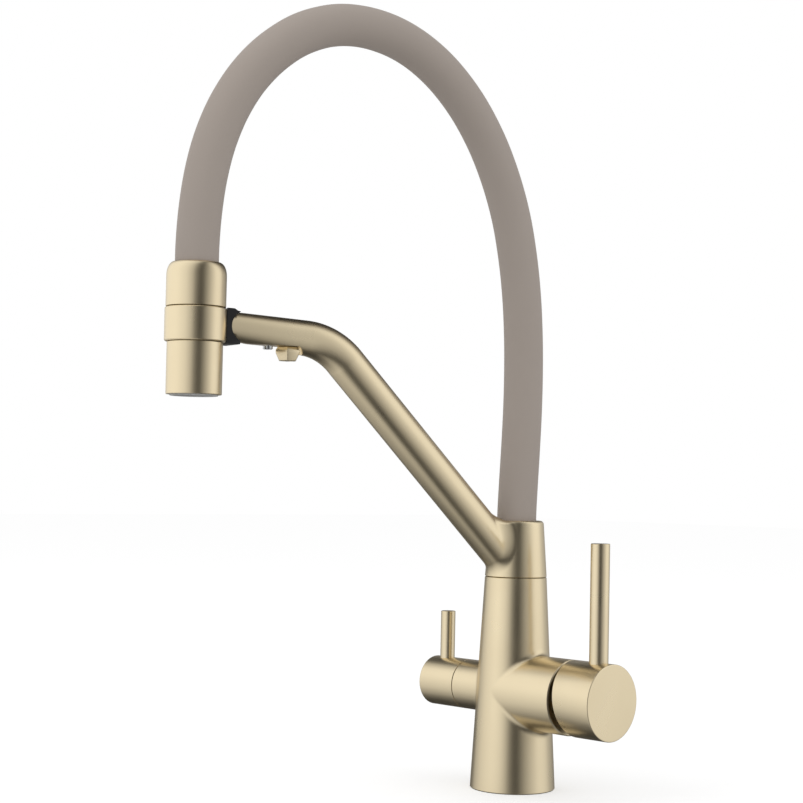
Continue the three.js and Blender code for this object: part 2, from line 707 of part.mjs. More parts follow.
/** The headwork of the filter valve and its handle, a quarter turn from shut to open. */
function filterValve() {
  const sealStart = filterBoreBottom + fit;
  const bodyStart = sealStart + filterSealThickness + fit;
  const bodyEnd = filterBossEnd - fit;
  const inner = filterBoreRadius - fit - filterBodyWall;
  const fixedStart = bodyStart + fit;
  const movingStart = fixedStart + filterDiscThickness + fit;
  const driverStart = movingStart + filterDiscThickness + fit;
  const driverEnd = driverStart + filterDiscThickness;
  const pair = (turn) => [0, 180].map((half) => solid(
    at(bar(filterPortRadius, 0, filterBossEnd, smallSides), filterDiscRadius / 2, 0)
      .rotateZ(rad(turn + half))));
  const housing = cut(
    joined(
      solid(bar(filterBoreRadius - fit, bodyStart + filterNoseLength, bodyEnd)),
      solid(bar(filterNoseRadius, bodyStart, bodyStart + filterNoseLength + 1))),
    solid(bar(inner, bodyStart - 1, driverEnd + fit)),
    solid(bar(filterNeckBore, driverEnd, bodyEnd + 1, smallSides)),
    solid(bar(filteredRiserBore, 0, filterBoreRadius + 1, smallSides).rotateY(Math.PI / 2)
      .translate(0, 0, movingStart + filterDiscThickness)));
  const tongue = (room) => solid(block(
    [-filterTongue - room, -1 - room, driverStart - 1 - room],
    [filterTongue + room, 1 + room, driverStart + 0.5]));
  const driver = joined(
    solid(bar(filterDiscRadius, driverStart, driverEnd)),
    solid(bar(filterSpindleRadius, driverStart, filterSpindleEnd, smallSides)),
    tongue(0));

  const knobStart = filterBossEnd + seam;
  const faceStart = filterKnobEnd - filterFaceThickness;
  const drum = bar(filterKnobRadius, knobStart, filterKnobEnd, wideSides, knobChamfer);
  const cavity = bar(filterKnobRadius - filterKnobWall, knobStart - 1, faceStart);
  const hub = bar(filterHubRadius, filterHubStart, faceStart + 1);
  const pinBoss = bar(filterPinRadius + 2, 0, filterKnobRadius - filterKnobWall / 2)
    .rotateY(Math.PI / 2).translate(0, 0, filterPinDistance);
  const shaftHole = bar(filterSpindleRadius + fit, filterHubStart - 1, filterSpindleEnd + fit, smallSides);
  const grubDistance = filterSpindleEnd - 4;
  const knob = cut(joined(cut(solid(drum), solid(cavity)), solid(hub), solid(pinBoss)),
    solid(shaftHole), grubHole(grubDistance, filterKnobRadius + 2),
    ...pinSocket(filterPinRadius, filterPinDistance, filterKnobRadius));
  return [
    piece('filter_valve_seal', solid(tube(filterSealInner, filterBoreRadius - 2 * fit,
      sealStart, sealStart + filterSealThickness)), rubber),
    piece('filter_valve_body', housing, brass),
    piece('filter_fixed_disc', cut(solid(bar(filterDiscRadius, fixedStart,
      fixedStart + filterDiscThickness)), ...pair(0)), ceramic),
    piece('filter_moving_disc', cut(solid(bar(filterDiscRadius, movingStart,
      movingStart + filterDiscThickness)), ...pair(90), tongue(fit)), ceramic),
    piece('filter_spindle', driver, brass),
    piece('filter_knob', knob, champagne),
    leverPin('filter_lever_pin', filterPinRadius, filterPinDistance, filterKnobRadius, filterPinRise),
    grubScrew('filter_grub_screw', filterSpindleRadius + fit, grubDistance),
  ];
}

// ---------------------------------------------------------------- spout

/** The stations of the arm's centre line, from the body axis to a reach on its outer run. */
function armStations(reach, radiusAt) {
  const [slope, rise] = [rad(armSlope), rad(armEndRise)];
  const bend = slope - rise;
  const bendRadius = armBendTangent / Math.tan(bend / 2);
  const from = [armCorner[0] - armBendTangent * Math.cos(slope),
    armCorner[1] - armBendTangent * Math.sin(slope)];
  const hub = [from[0] + bendRadius * Math.sin(slope), from[1] - bendRadius * Math.cos(slope)];
  const bendSteps = 6;
  const stations = [{ centre: armStart, slope }];
  for (let i = 0; i <= bendSteps; i++) {
    const angle = slope - (bend * i) / bendSteps;
    stations.push({
      centre: [hub[0] - bendRadius * Math.sin(angle), hub[1] + bendRadius * Math.cos(angle)],
      slope: angle,
    });
  }
  stations.push({ centre: [reach, outerRun(reach)], slope: rise });
  return stations.map((station) => ({ ...station, radius: radiusAt(station.centre[0], from[0]) }));
}

/** The arm tapers evenly from the start of its bend to its tip. */
const armRadiusAt = (reach, bendStart) => (reach <= bendStart ? armRadius
  : armRadius + (armTipRadius - armRadius) * (reach - bendStart) / (armTipReach - bendStart));

/** Places geometry made on the Z axis along the arm's outer run, with Z measured as reach. */
function onOuterRun(geometry) {
  return geometry.translate(0, 0, -armCornerReach).scale(1, 1, 1 / Math.cos(rad(armEndRise)))
    .rotateY(Math.PI / 2 - rad(armEndRise)).translate(armCorner[0], 0, armCorner[1]);
}

/** The rounded outline of the two cheeks at the arm's tip, grown by a margin. */
function cheekPrism(margin) {
  const outline = new THREE.Shape();
  outline.absellipse(cheekReach, outerRun(cheekReach), cheekLength + margin,
    armTipRadius + cheekRise + margin, 0, 2 * Math.PI, false, 0);
  return plateXZ(outline, 2 * armRadius);
}

/** Collar and arm, with the swivel bore, the filtered water duct and the seats on the arm. */
function spoutArm() {
  const round = Array.from({ length: 5 }, (_, i) => {
    const turn = rad((90 * i) / 4);
    return [collarTopRadius - collarRound * (1 - Math.cos(turn)),
      collarTop - collarRound * (1 - Math.sin(turn))];
  });
  const collar = turned([[0, collarBottom], [shoulderRadius, collarBottom], ...round, [0, collarTop]],
    wideSides);
  const arm = solid(swept(armStations(armTipReach, armRadiusAt), 32));
  const [wide, beyond] = [2 * armRadius, armTipReach + armRadius];
  const tipSlab = block([notchReach, -wide, flatHeight - wide],
    [beyond, wide, outerRun(armTipReach) + wide]);
  const notch = solid(tipSlab).subtract(solid(cheekPrism(0)));
  const duct = swept(armStations(outletReach + armDuctBeyond, () => armDuctRadius), smallSides);
  const hollows = [
    duct,
    block([-wide, -wide, 0], [wide, wide, collarBottom]),
    bar(collarBore, 0, swivelBoreTop, roundSides),
    bar(hoseHole, 0, collarTop + armRadius, roundSides),
    tube(1, collarBore + retainerBite + fit, spigotSeat + fit + retainerHeight - fit,
      spigotSeat + fit + retainerHeight + retainerThickness + fit),
    onOuterRun(bar(socketRadius, socketReach, beyond, roundSides)),
    block([outletReach, -wide, flatHeight - wide], [beyond, wide, flatHeight]),
    at(bar(flatEndRadius, flatHeight - wide, flatHeight, roundSides), outletReach, 0),
    at(bar(outletShankRadius + fit, flatHeight - 1, outerRun(outletReach), smallSides), outletReach, 0),
    at(bar(screwShankRadius + fit, flatHeight - 1, outerRun(dockScrewReach), smallSides),
      dockScrewReach, 0),
  ];
  const whole = joined(solid(collar), arm.subtract(notch));
  return piece('spout_arm', cut(whole, ...hollows.map(solid)), champagne);
}

/** The ring that keeps the collar on the spigot, and the tail fitting of the hose above it. */
function collarFittings() {
  const seat = spigotSeat + fit;
  const spigotTop = seat + spigotHeight;
  const flangeTop = swivelBoreTop - fit;
  const flangeBottom = spigotTop + fit;
  const tailLength = 16;
  const sealHeight = spigotTop - 9;
  const section = 0.6;
  const noseRadius = spigotBore - fit;
  const nose = bar(noseRadius, spigotTop - tailLength, flangeBottom + 0.5, smallSides);
  const flange = bar(collarBore - fit, flangeBottom, flangeTop);
  const groove = tube(noseRadius - 2 * section - fit, noseRadius + 1,
    sealHeight - section - fit, sealHeight + section + fit);
  const bore = bar(2.2, 0, flangeTop + 1, smallSides);
  return [
    piece('swivel_retaining_ring', solid(tube(spigotRadius - retainerBite,
      collarBore + retainerBite, seat + retainerHeight,
      seat + retainerHeight + retainerThickness)), steel),
    piece('hose_tail_fitting', cut(joined(solid(nose), solid(flange)), solid(groove), solid(bore)),
      brass),
    piece('hose_tail_o_ring', solid(oRing(noseRadius - section, sealHeight, section, smallSides)),
      rubber),
  ];
}

/** The six-sided filtered water outlet and the flow insert in its mouth. */
function filteredOutlet() {
  const seatTop = flatHeight - fit;
  const tip = seatTop - outletLength;
  const hex = turned([
    [0, tip], [outletTipRadius, tip],
    [outletHexRadius, seatTop - outletHexDepth], [outletHexRadius, seatTop], [0, seatTop],
  ], 6);
  const shank = bar(outletShankRadius, seatTop - 1, seatTop + outletShankLength, smallSides);
  const bore = bar(outletBore, 0, seatTop + outletShankLength + 1, smallSides);
  const mouth = bar(outletMouthRadius, 0, tip + outletMouthDepth, smallSides);
  const insert = bar(outletMouthRadius - fit, tip + fit, tip + outletMouthDepth - fit, smallSides);
  const jets = Array.from({ length: outletJets }, (_, i) => solid(
    at(bar(outletJetRadius, 0, tip + outletMouthDepth, smallSides), outletJetCircle, 0)
      .rotateZ((2 * Math.PI * i) / outletJets)));
  const nozzle = piece('filter_outlet_nozzle',
    cut(joined(solid(hex), solid(shank)), solid(bore), solid(mouth)), champagne);
  const flow = piece('filter_outlet_insert', cut(solid(insert), ...jets), greyPlastic);
  nozzle.position.x = outletReach;
  flow.position.x = outletReach;
  return [nozzle, flow];
}

/** The black block that the spray head rests against, its magnet and the screw that holds it. */
function dock() {
  const back = notchReach + fit;
  const front = back + dockLength;
  const slope = back + dockShoulder;
  const [low, high] = [dockAxisHeight - dockHalfHeight, dockAxisHeight + dockHalfHeight];
  const side = shapeOf([[back, low], [front, low], [front, high], [slope, high],
    [slope - dockSlopeLength, high - dockSlopeDrop], [back, high - dockSlopeDrop]]);
  const tang = onOuterRun(
    bar(socketRadius - fit, socketReach + fit, headReach - ringRadius, roundSides));
  const headRoom = at(bar(ringRadius + fit, barrelBottom, capTop, wideSides), headReach, 0);
  const magnetEnd = headReach - ringRadius - 2 * fit;
  const magnetStart = magnetEnd - dockMagnetLength;
  const onDockAxis = (geometry) => alongX(geometry).translate(0, 0, dockAxisHeight);
  const magnetRoom = onDockAxis(bar(dockMagnetRadius + fit, magnetStart - fit, headReach, roundSides));
  const headTop = flatHeight - screwHeadGap;
  const headBottom = headTop - screwHeadHeight;
  const screwTop = headTop + screwShankLength;
  const screwRoom = at(bar(screwShankRadius + fit, 0, screwTop + fit, smallSides), dockScrewReach, 0);
  const body = joined(
    cut(solid(plateXZ(side, dockHalfWidth)), solid(cheekPrism(fit))),
    solid(tang));
  const screw = joined(
    solid(bar(screwHeadRadius, headBottom, headTop, smallSides)),
    solid(bar(screwShankRadius, headBottom, screwTop, smallSides)));
  const slot = solid(block([-2 * screwHeadRadius, -screwSlotHalf, headBottom - 1],
    [2 * screwHeadRadius, screwSlotHalf, headBottom + screwSlotDepth]));
  const screwPiece = piece('dock_screw', cut(screw, slot), steel);
  screwPiece.position.x = dockScrewReach;
  return [
    piece('dock_block', cut(body, solid(headRoom), solid(magnetRoom), solid(screwRoom)), blackPlastic),
    piece('dock_magnet', solid(onDockAxis(bar(dockMagnetRadius, magnetStart, magnetEnd))), magnetGrey),
    screwPiece,
  ];
}

// ---------------------------------------------------------------- hose

// The hose's centre line in the spout's plane, as percentages: of the way out to the head, and
// of the way up to the top of the arch, first from the collar and then from the spray head.
const hoseRising = [
  [0, 0], [0, 3.51], [-0.41, 10.18], [-0.92, 17.19], [-1.38, 25.61], [-1.47, 33.68],
  [-1.2, 41.05], [-0.37, 49.12], [1.2, 57.19], [3.78, 65.61], [7.74, 73.68], [13.18, 81.4],
  [20.51, 88.6], [29.72, 94.56], [40.09, 98.46], [50.69, 100],
];
const hoseFalling = [
  [60.83, 99.06], [70.74, 93.97], [79.26, 85.6], [86.41, 74.88], [91.94, 62.49], [95.76, 49.43],
  [98.11, 36.37], [99.45, 22.97], [100, 10.25], [100, 0],
];
const hoseTop = hoseStart + hoseRise;
const hoseRoute = [[hoseRising, hoseStart], [hoseFalling, hoseEnd]].flatMap(([points, foot]) =>
  points.map(([out, up]) => [headReach * out / 100, foot + (hoseTop - foot) * up / 100]));

/** The silicone hose, as one tube from the collar to the spray head. */
function sprayHose() {
  const curve = new THREE.CatmullRomCurve3(
    hoseRoute.map(([reach, height]) => new THREE.Vector3(reach, 0, height)), false, 'centripetal');
  const section = new THREE.Shape();
  section.absarc(0, 0, hoseRadius, 0, 2 * Math.PI, false);
  const geometry = new THREE.ExtrudeGeometry(section, {
    steps: 48, curveSegments: 6, bevelEnabled: false, extrudePath: curve,
  });
  return piece('spray_hose', solid(geometry), taupeSilicone);
}

// ---------------------------------------------------------------- spray head

/** Cap, ring, core and fittings of the spray head, on its own upright axis. */
function sprayHead() {
  const capBottom = ringTop + seam;
  const shoulder = Array.from({ length: 6 }, (_, i) => {
    const turn = rad((90 * i) / 5);
    return [capRadius - capShoulderWidth * (1 - Math.cos(turn)),
      capTop - capShoulderHeight * (1 - Math.sin(turn))];
  });
  const innerRadius = coreRadius + fit;
  const cap = cut(
    solid(turned([[0, capBottom], [capRadius, capBottom], ...shoulder, [0, capTop]], wideSides)),
    solid(bar(innerRadius, capBottom - 1, capTop - capLipDepth)),
    solid(bar(hoseHole, capBottom, capTop + 1)));
  const ringBottom = barrelTop + fit;
  const ring = turned([
    [innerRadius, ringBottom], [ringRadius - ringBevel, ringBottom],
    [ringRadius, ringBottom + ringBevel], [ringRadius, ringTop - ringBevel],
    [ringRadius - ringBevel, ringTop], [innerRadius, ringTop],
  ], wideSides);

  const spigot = barrelRadius - barrelWall - fit;
  const groove = ringBottom - barrelORingDrop;
  const onDockAxis = (geometry) => alongX(geometry).translate(0, 0, dockAxisHeight);
  const core = cut(
    joined(
      solid(bar(coreRadius, ringBottom, coreTop)),
      solid(bar(spigot, ringBottom - coreSpigotLength, ringBottom + 1))),
    solid(bar(chamberRadius, 0, barrelTop - chamberDrop)),
    solid(bar(coreBore, 0, coreTop + 1, smallSides)),
    solid(tube(spigot - 2 * oRingSection - fit, spigot + 1, groove - oRingSection - fit,
      groove + oRingSection + fit)),
    solid(onDockAxis(bar(dockMagnetRadius + fit, -coreRadius - 2, -coreRadius + headMagnetDepth + fit))));
  const magnet = solid(onDockAxis(bar(dockMagnetRadius, -coreRadius, -coreRadius + headMagnetDepth)))
    .intersect(solid(bar(coreRadius - fit, barrelBottom, capTop)));

  const washerBottom = coreTop + fit;
  const flangeBottom = washerBottom + headWasherThickness + fit;
  const fitting = cut(joined(
    solid(bar(innerRadius - fit, flangeBottom, flangeBottom + headFlangeThickness)),
    solid(bar(coreBore - fit, coreTop - headNoseLength, flangeBottom + 0.5, smallSides))),
  solid(bar(2.4, 0, capTop, smallSides)));
  const valveTop = coreTop - nonReturnDrop;
  return [
    piece('head_cap', cap, champagne),
    piece('head_ring', solid(ring), champagne),
    piece('spray_core', core, blackPlastic),
    piece('head_magnet', magnet, magnetGrey),
    piece('head_washer', solid(tube(coreBore, headWasherRadius, washerBottom,
      washerBottom + headWasherThickness)), rubber),
    piece('hose_head_fitting', fitting, brass),
    piece('non_return_valve', solid(tube(2, coreBore - fit, valveTop - nonReturnLength, valveTop,
      smallSides)), whitePlastic),
    piece('barrel_o_ring', solid(oRing(spigot - oRingSection, groove)), rubber),
  ];
}

/** The barrel that turns to change the jet, with its spray face and aerator. */
function sprayBarrel() {
  const inner = barrelRadius - barrelWall;
  const barrel = tube(inner, barrelRadius, barrelBottom, barrelTop, wideSides);
  const faceBottom = barrelBottom + faceRecess;
  const faceTop = faceBottom + faceThickness;
  const jets = Array.from({ length: faceJets }, (_, i) => solid(
    at(bar(faceJetRadius, faceBottom - 1, faceTop + 1, 8), faceJetCircle, 0)
      .rotateZ((2 * Math.PI * i) / faceJets)));
  const face = cut(solid(bar(inner - fit, faceBottom, faceTop)),
    solid(bar(aeratorRadius + fit, faceBottom - 1, faceTop + 1)), ...jets);
  const holes = Array.from({ length: aeratorHoles }, (_, i) => solid(
    at(bar(aeratorHoleRadius, faceBottom - 1, faceTop + 1, 8), i ? aeratorRadius * 0.55 : 0, 0)
      .rotateZ((2 * Math.PI * i) / (aeratorHoles - 1))));
  return [
    piece('spray_barrel', solid(barrel), champagne),
    piece('spray_face', face, greyPlastic),
    piece('aerator_insert', cut(solid(bar(aeratorRadius, faceBottom + fit, faceTop)), ...holes),
      whitePlastic),
  ];
}

// ---------------------------------------------------------------- assembly

const tap = new THREE.Group();
tap.add(tapBody(), baseGasket(), swivelSpigot(), ...swivelSeals());

const mixer = valveFrame(1);
mixer.add(...cartridgeStack(), movingDisc(), ...rotor(), ...mixerHandle());
const filter = valveFrame(-1);
filter.add(...filterValve());

const spout = new THREE.Group();
spout.rotation.z = rad(spoutAzimuth);
const head = new THREE.Group();
head.position.x = headReach;
head.add(...sprayHead(), ...sprayBarrel());
spout.add(spoutArm(), ...collarFittings(), ...filteredOutlet(), ...dock(), sprayHose(), head);

tap.add(mixer, filter, spout);

export default tap;
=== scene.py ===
"""Looks of the three way filtered water tap: its castings, handles, hose and spray head.

Sizes in the classes are millimetres and meshes are metres. The spout is made straight ahead,
with X as the reach from the body axis, and is then turned to its azimuth.
"""
import logging
import math
from dataclasses import dataclass
from enum import Enum
from typing import Callable, Iterable, Sequence

import bmesh
import bpy
import numpy as np
from mathutils import Matrix, Vector


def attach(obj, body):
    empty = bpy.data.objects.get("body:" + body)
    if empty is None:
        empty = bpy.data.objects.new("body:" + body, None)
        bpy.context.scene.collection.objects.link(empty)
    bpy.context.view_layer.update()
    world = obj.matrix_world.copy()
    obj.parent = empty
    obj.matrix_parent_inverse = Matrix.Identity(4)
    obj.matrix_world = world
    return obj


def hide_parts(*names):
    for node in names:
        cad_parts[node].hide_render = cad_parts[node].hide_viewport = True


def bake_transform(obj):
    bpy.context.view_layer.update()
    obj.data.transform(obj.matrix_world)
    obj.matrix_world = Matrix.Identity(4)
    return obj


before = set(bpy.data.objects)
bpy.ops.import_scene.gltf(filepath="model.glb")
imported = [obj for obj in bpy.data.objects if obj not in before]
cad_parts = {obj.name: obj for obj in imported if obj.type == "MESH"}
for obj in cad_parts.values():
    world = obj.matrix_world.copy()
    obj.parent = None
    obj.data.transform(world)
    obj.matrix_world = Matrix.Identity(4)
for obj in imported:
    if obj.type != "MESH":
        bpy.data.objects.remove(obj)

MM = 0.001
LOG = logging.getLogger("tap")
SPOUT_TURN = Matrix.Rotation(math.radians(-100), 4, "Z")
HEAD_REACH = 217.0
HEAD_PLACE = SPOUT_TURN @ Matrix.Translation((HEAD_REACH * MM, 0, 0))
VALVE_AXIS = 57.6
SIDEWAYS = Matrix.Rotation(math.pi / 2, 4, "Y")
BEYOND = 5.0
SKIN_ROUNDS = 7
SKIN_DRIFT = 0.6

Colour = tuple[float, float, float]
Corner = tuple[float, float, float]
Field = Callable[[np.ndarray], np.ndarray]
Stops = list[tuple[float, float]]
Feed = float | Sequence[float] | bpy.types.NodeSocket


class Body(Enum):
    """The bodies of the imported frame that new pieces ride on."""

    TAP = "tap"
    SPOUT = "spout"
    HEAD = "spray_head"
    BARREL = "spray_barrel_body"
    MIXER_HANDLE = "mixer_handle"
    FILTER_HANDLE = "filter_handle"


class Slot(Enum):
    """The material slots of the record."""

    CHAMPAGNE = "champagne_brass"
    BRASS = "brass"
    STEEL = "steel"
    MAGNET = "magnet"
    BLACK = "black_plastic"
    GREY = "grey_plastic"
    WHITE = "white_plastic"
    CERAMIC = "ceramic"
    RUBBER = "seal_rubber"
    SILICONE = "taupe_silicone"


class Grain(Enum):
    """How the fine texture of a surface lies."""

    FINE = (1.0, 1.0, 1.0)
    TURNED = (0.25, 0.25, 3.0)


# ---------------------------------------------------------------- finishes


def group_socket(tree: bpy.types.NodeTree, name: str, way: str, kind: str,
                 value: float | None = None) -> None:
    """Adds a named socket to a node group.

    Args:
        tree: The node group.
        name: The socket's name.
        way: INPUT or OUTPUT.
        kind: The socket's type, such as NodeSocketFloat.
        value: The value it starts at.
    """
    socket = tree.interface.new_socket(name=name, in_out=way, socket_type=kind)
    if value is not None:
        socket.default_value = value


class Net:
    """The nodes of a material, world or node group, with short ways to add and join them."""

    def __init__(self, tree: bpy.types.NodeTree) -> None:
        """Takes the tree that it adds to."""
        self.nodes, self.links = tree.nodes, tree.links

    def feed(self, node: bpy.types.Node, inputs: dict[str | int, Feed]) -> bpy.types.Node:
        """Gives inputs of a node their value, or the socket that drives them.

        Args:
            node: The node.
            inputs: Value or socket of each input, by its name or number.

        Returns:
            The node.
        """
        for key, value in inputs.items():
            if isinstance(value, bpy.types.NodeSocket):
                self.links.new(value, node.inputs[key])
            else:
                node.inputs[key].default_value = value
        return node

    def add(self, kind: str, inputs: dict[str | int, Feed] | None = None,
            operation: str | None = None) -> bpy.types.Node:
        """Adds a node.

        Args:
            kind: Its type, without the leading ShaderNode.
            inputs: Value or socket of each input.
            operation: What a maths node does.

        Returns:
            The node.
        """
        node = self.nodes.new("ShaderNode" + kind)
        if operation:
            node.operation = operation
        return self.feed(node, inputs or {})

    def mix(self, factor: Feed, first: Feed, second: Feed) -> bpy.types.NodeSocket:
        """Mixes two colours by a mask.

        Args:
            factor: The mask.
            first: The colour where the mask is 0.
            second: The colour where the mask is 1.

        Returns:
            The socket of the mixed colour.
        """
        node = self.nodes.new("ShaderNodeMix")
        node.data_type = "RGBA"
        return self.feed(node, {0: factor, 6: first, 7: second}).outputs[2]

    def product(self, first: Feed, second: Feed) -> bpy.types.NodeSocket:
        """The socket of one value times another."""
        return self.add("Math", {0: first, 1: second}, "MULTIPLY").outputs[0]

    def seen(self) -> bpy.types.NodeSocket:
        """The socket that is 1 for rays from the camera, reflected rays and rays through glass."""
        rays = self.add("LightPath").outputs
        total = rays["Is Camera Ray"]
        for kind in ("Is Glossy Ray", "Is Transmission Ray"):
            node = self.add("Math", {0: total, 1: rays[kind]}, "ADD")
            node.use_clamp = True
            total = node.outputs[0]
        return total

    def ramp(self, value: bpy.types.NodeSocket, low: float, high: float,
             stops: Stops) -> bpy.types.NodeSocket:
        """A level that follows a value through stops.

        Args:
            value: The socket that it follows.
            low: The value of the first share.
            high: The value of the last share.
            stops: Share and level of each stop, in order.

        Returns:
            The socket of the level.
        """
        share = self.add("MapRange", {"Value": value, "From Min": low, "From Max": high})
        node = self.add("ValToRGB", {"Fac": share.outputs["Result"]})
        node.color_ramp.interpolation = "EASE"
        elements = node.color_ramp.elements
        while len(elements) < len(stops):
            elements.new(0.5)
        for element, (place, level) in zip(elements, stops):
            element.position = place
            element.color = (level, level, level, 1)
        return node.outputs["Color"]


def texture_group() -> bpy.types.NodeTree:
    """Builds the shared surface texture: fine grain, soft mottling, and convex edges that are
    partly wear and partly a painted edge highlight.

    Returns:
        The node group, with inputs Vector, Grain Scale, Mottle Scale and Wear, the amount of
        edge wear and painted edge highlight, and outputs Grain, Mottle and Edge, their mask.
    """
    tree = bpy.data.node_groups.new("surface_texture", "ShaderNodeTree")
    group_socket(tree, "Vector", "INPUT", "NodeSocketVector")
    for name, value in (("Grain Scale", 3000.0), ("Mottle Scale", 40.0), ("Wear And Highlight", 0.5)):
        group_socket(tree, name, "INPUT", "NodeSocketFloat", value)
    for name in ("Grain", "Mottle", "Edge"):
        group_socket(tree, name, "OUTPUT", "NodeSocketFloat")
    net = Net(tree)
    inside = tree.nodes.new("NodeGroupInput").outputs
    grain = net.add("TexNoise", {"Vector": inside["Vector"], "Scale": inside["Grain Scale"],
                                 "Detail": 3.0, "Roughness": 0.65}).outputs["Fac"]
    mottle = net.add("TexNoise", {"Vector": inside["Vector"], "Scale": inside["Mottle Scale"],
                                  "Detail": 4.0, "Distortion": 0.6}).outputs["Fac"]
    # Edge mask from pointiness: lightens convex edges, partly as wear and partly as a painted edge
    # highlight.
    edge = net.add("MapRange", {"Value": net.add("NewGeometry").outputs["Pointiness"],
                                "From Min": 0.53, "From Max": 0.62}).outputs["Result"]
    edge_wear_and_highlight = net.product(net.product(edge, mottle), inside["Wear And Highlight"])
    net.feed(tree.nodes.new("NodeGroupOutput"), {"Grain": grain, "Mottle": mottle, "Edge": edge_wear_and_highlight})
    return tree


@dataclass(frozen=True)
class Finish:
    """A surface finish, with the sizes of its texture.

    Attributes:
        name: The material's name.
        slot: The slot of the record that it belongs to.
        colour: Linear base colour.
        shade: Linear colour of its darker mottling.
        edge: Linear colour of convex edges, lighter than the base: partly wear, partly a painted
            edge highlight.
        metallic: 1 for metal, 0 for the rest.
        roughness: Roughness in the middle of its range.
        spread: How far the roughness varies either way.
        grain_scale: Frequency of the fine grain, per metre.
        grain_height: Height of the fine grain in metres.
        mottle_scale: Frequency of the soft mottling, per metre.
        wear_and_highlight: How much of the edges is lightened, partly as wear and partly as a
            painted edge highlight.
        grain: How the grain lies.
        sheen: Weight of a soft sheen, as on silicone.
        coat: Weight of a clear coat.
        specular: Level of the plain reflection of what isn't metal.
    """

    name: str
    slot: Slot
    colour: Colour
    shade: Colour
    edge: Colour
    metallic: float
    roughness: float
    spread: float = 0.04
    grain_scale: float = 3000.0
    grain_height: float = 0.000004
    mottle_scale: float = 40.0
    wear_and_highlight: float = 0.4
    grain: Grain = Grain.FINE
    sheen: float = 0.0
    coat: float = 0.0
    specular: float = 0.5

    def build(self, texture: bpy.types.NodeTree) -> bpy.types.Material:
        """Builds the material.

        Args:
            texture: The shared texture group.

        Returns:
            The material.
        """
        material = bpy.data.materials.new(self.name)
        material.use_nodes = True
        material.diffuse_color = (*self.colour, 1)
        net = Net(material.node_tree)
        stretch = net.add("Mapping", {"Vector": net.add("TexCoord").outputs["Object"],
                                      "Scale": self.grain.value})
        surface = net.nodes.new("ShaderNodeGroup")
        surface.node_tree = texture
        net.feed(surface, {"Vector": stretch.outputs["Vector"], "Grain Scale": self.grain_scale,
                           "Mottle Scale": self.mottle_scale, "Wear And Highlight": self.wear_and_highlight})
        mottle = surface.outputs["Mottle"]
        tone = net.mix(mottle, (*self.colour, 1), (*self.shade, 1))
        rough = net.add("MapRange", {"Value": mottle, "From Min": 0.3, "From Max": 0.7,
                                     "To Min": self.roughness - self.spread,
                                     "To Max": self.roughness + self.spread})
        bump = net.add("Bump", {"Strength": 0.5, "Distance": self.grain_height,
                                "Height": surface.outputs["Grain"]})
        net.feed(net.nodes["Principled BSDF"], {
            # Convex edges take the lighter edge colour: partly wear, partly a painted edge
            # highlight.
            "Base Color": net.mix(surface.outputs["Edge"], tone, (*self.edge, 1)),
            "Metallic": self.metallic, "Roughness": rough.outputs["Result"],
            "Specular IOR Level": self.specular, "Normal": bump.outputs["Normal"],
            "Sheen Weight": self.sheen, "Coat Weight": self.coat})
        return material


# The third colour of each finish lightens convex edges: partly wear, partly a painted edge
# highlight.
FINISHES = (
    Finish("champagne_satin", Slot.CHAMPAGNE, (0.86, 0.74, 0.51), (0.825, 0.70, 0.475),
           (0.93, 0.84, 0.66), 1.0, 0.29, 0.025, 5200.0, 0.0000016, 28.0, 0.35),
    Finish("machined_brass", Slot.BRASS, (0.75, 0.55, 0.24), (0.66, 0.46, 0.18),
           (0.85, 0.68, 0.36), 1.0, 0.28, 0.05, 1800.0, 0.000006, 60.0, 0.5, Grain.TURNED),
    Finish("satin_steel", Slot.STEEL, (0.62, 0.63, 0.64), (0.54, 0.55, 0.56),
           (0.74, 0.75, 0.76), 1.0, 0.26, 0.04, 2600.0, 0.000004, 80.0, 0.5, Grain.TURNED),
    Finish("nickel_magnet", Slot.MAGNET, (0.48, 0.49, 0.50), (0.40, 0.41, 0.42),
           (0.6, 0.6, 0.6), 1.0, 0.32, 0.05, 1500.0, 0.000006, 90.0, 0.4),
    Finish("black_moulding", Slot.BLACK, (0.008, 0.008, 0.009), (0.012, 0.012, 0.013),
           (0.035, 0.035, 0.036), 0.0, 0.34, 0.05, 2600.0, 0.000012, 70.0, 0.35, specular=0.28),
    Finish("grey_moulding", Slot.GREY, (0.50, 0.50, 0.49), (0.44, 0.44, 0.435),
           (0.58, 0.58, 0.57), 0.0, 0.42, 0.05, 2400.0, 0.00001, 70.0, 0.3),
    Finish("white_moulding", Slot.WHITE, (0.72, 0.71, 0.68), (0.66, 0.65, 0.615),
           (0.78, 0.77, 0.74), 0.0, 0.38, 0.05, 2400.0, 0.000008, 60.0, 0.2),
    Finish("alumina", Slot.CERAMIC, (0.84, 0.82, 0.77), (0.79, 0.77, 0.72),
           (0.88, 0.86, 0.82), 0.0, 0.16, 0.03, 4200.0, 0.000002, 90.0, 0.2, coat=0.3),
    Finish("seal_rubber", Slot.RUBBER, (0.016, 0.016, 0.016), (0.026, 0.026, 0.025),
           (0.05, 0.05, 0.05), 0.0, 0.62, 0.08, 1800.0, 0.00002, 80.0, 0.4),
    Finish("taupe_silicone", Slot.SILICONE, (0.395, 0.342, 0.302), (0.375, 0.324, 0.286),
           (0.42, 0.368, 0.327), 0.0, 0.78, 0.05, 2300.0, 0.000016, 22.0, 0.2, sheen=0.06),
)


# ---------------------------------------------------------------- making meshes


def at(x: float = 0, y: float = 0, z: float = 0) -> Matrix:
    """The place at these millimetres."""
    return Matrix.Translation((x * MM, y * MM, z * MM))


def only(parts: Iterable[object], kind: type) -> list:
    """The parts of one kind, such as edges."""
    return [part for part in parts if isinstance(part, kind)]


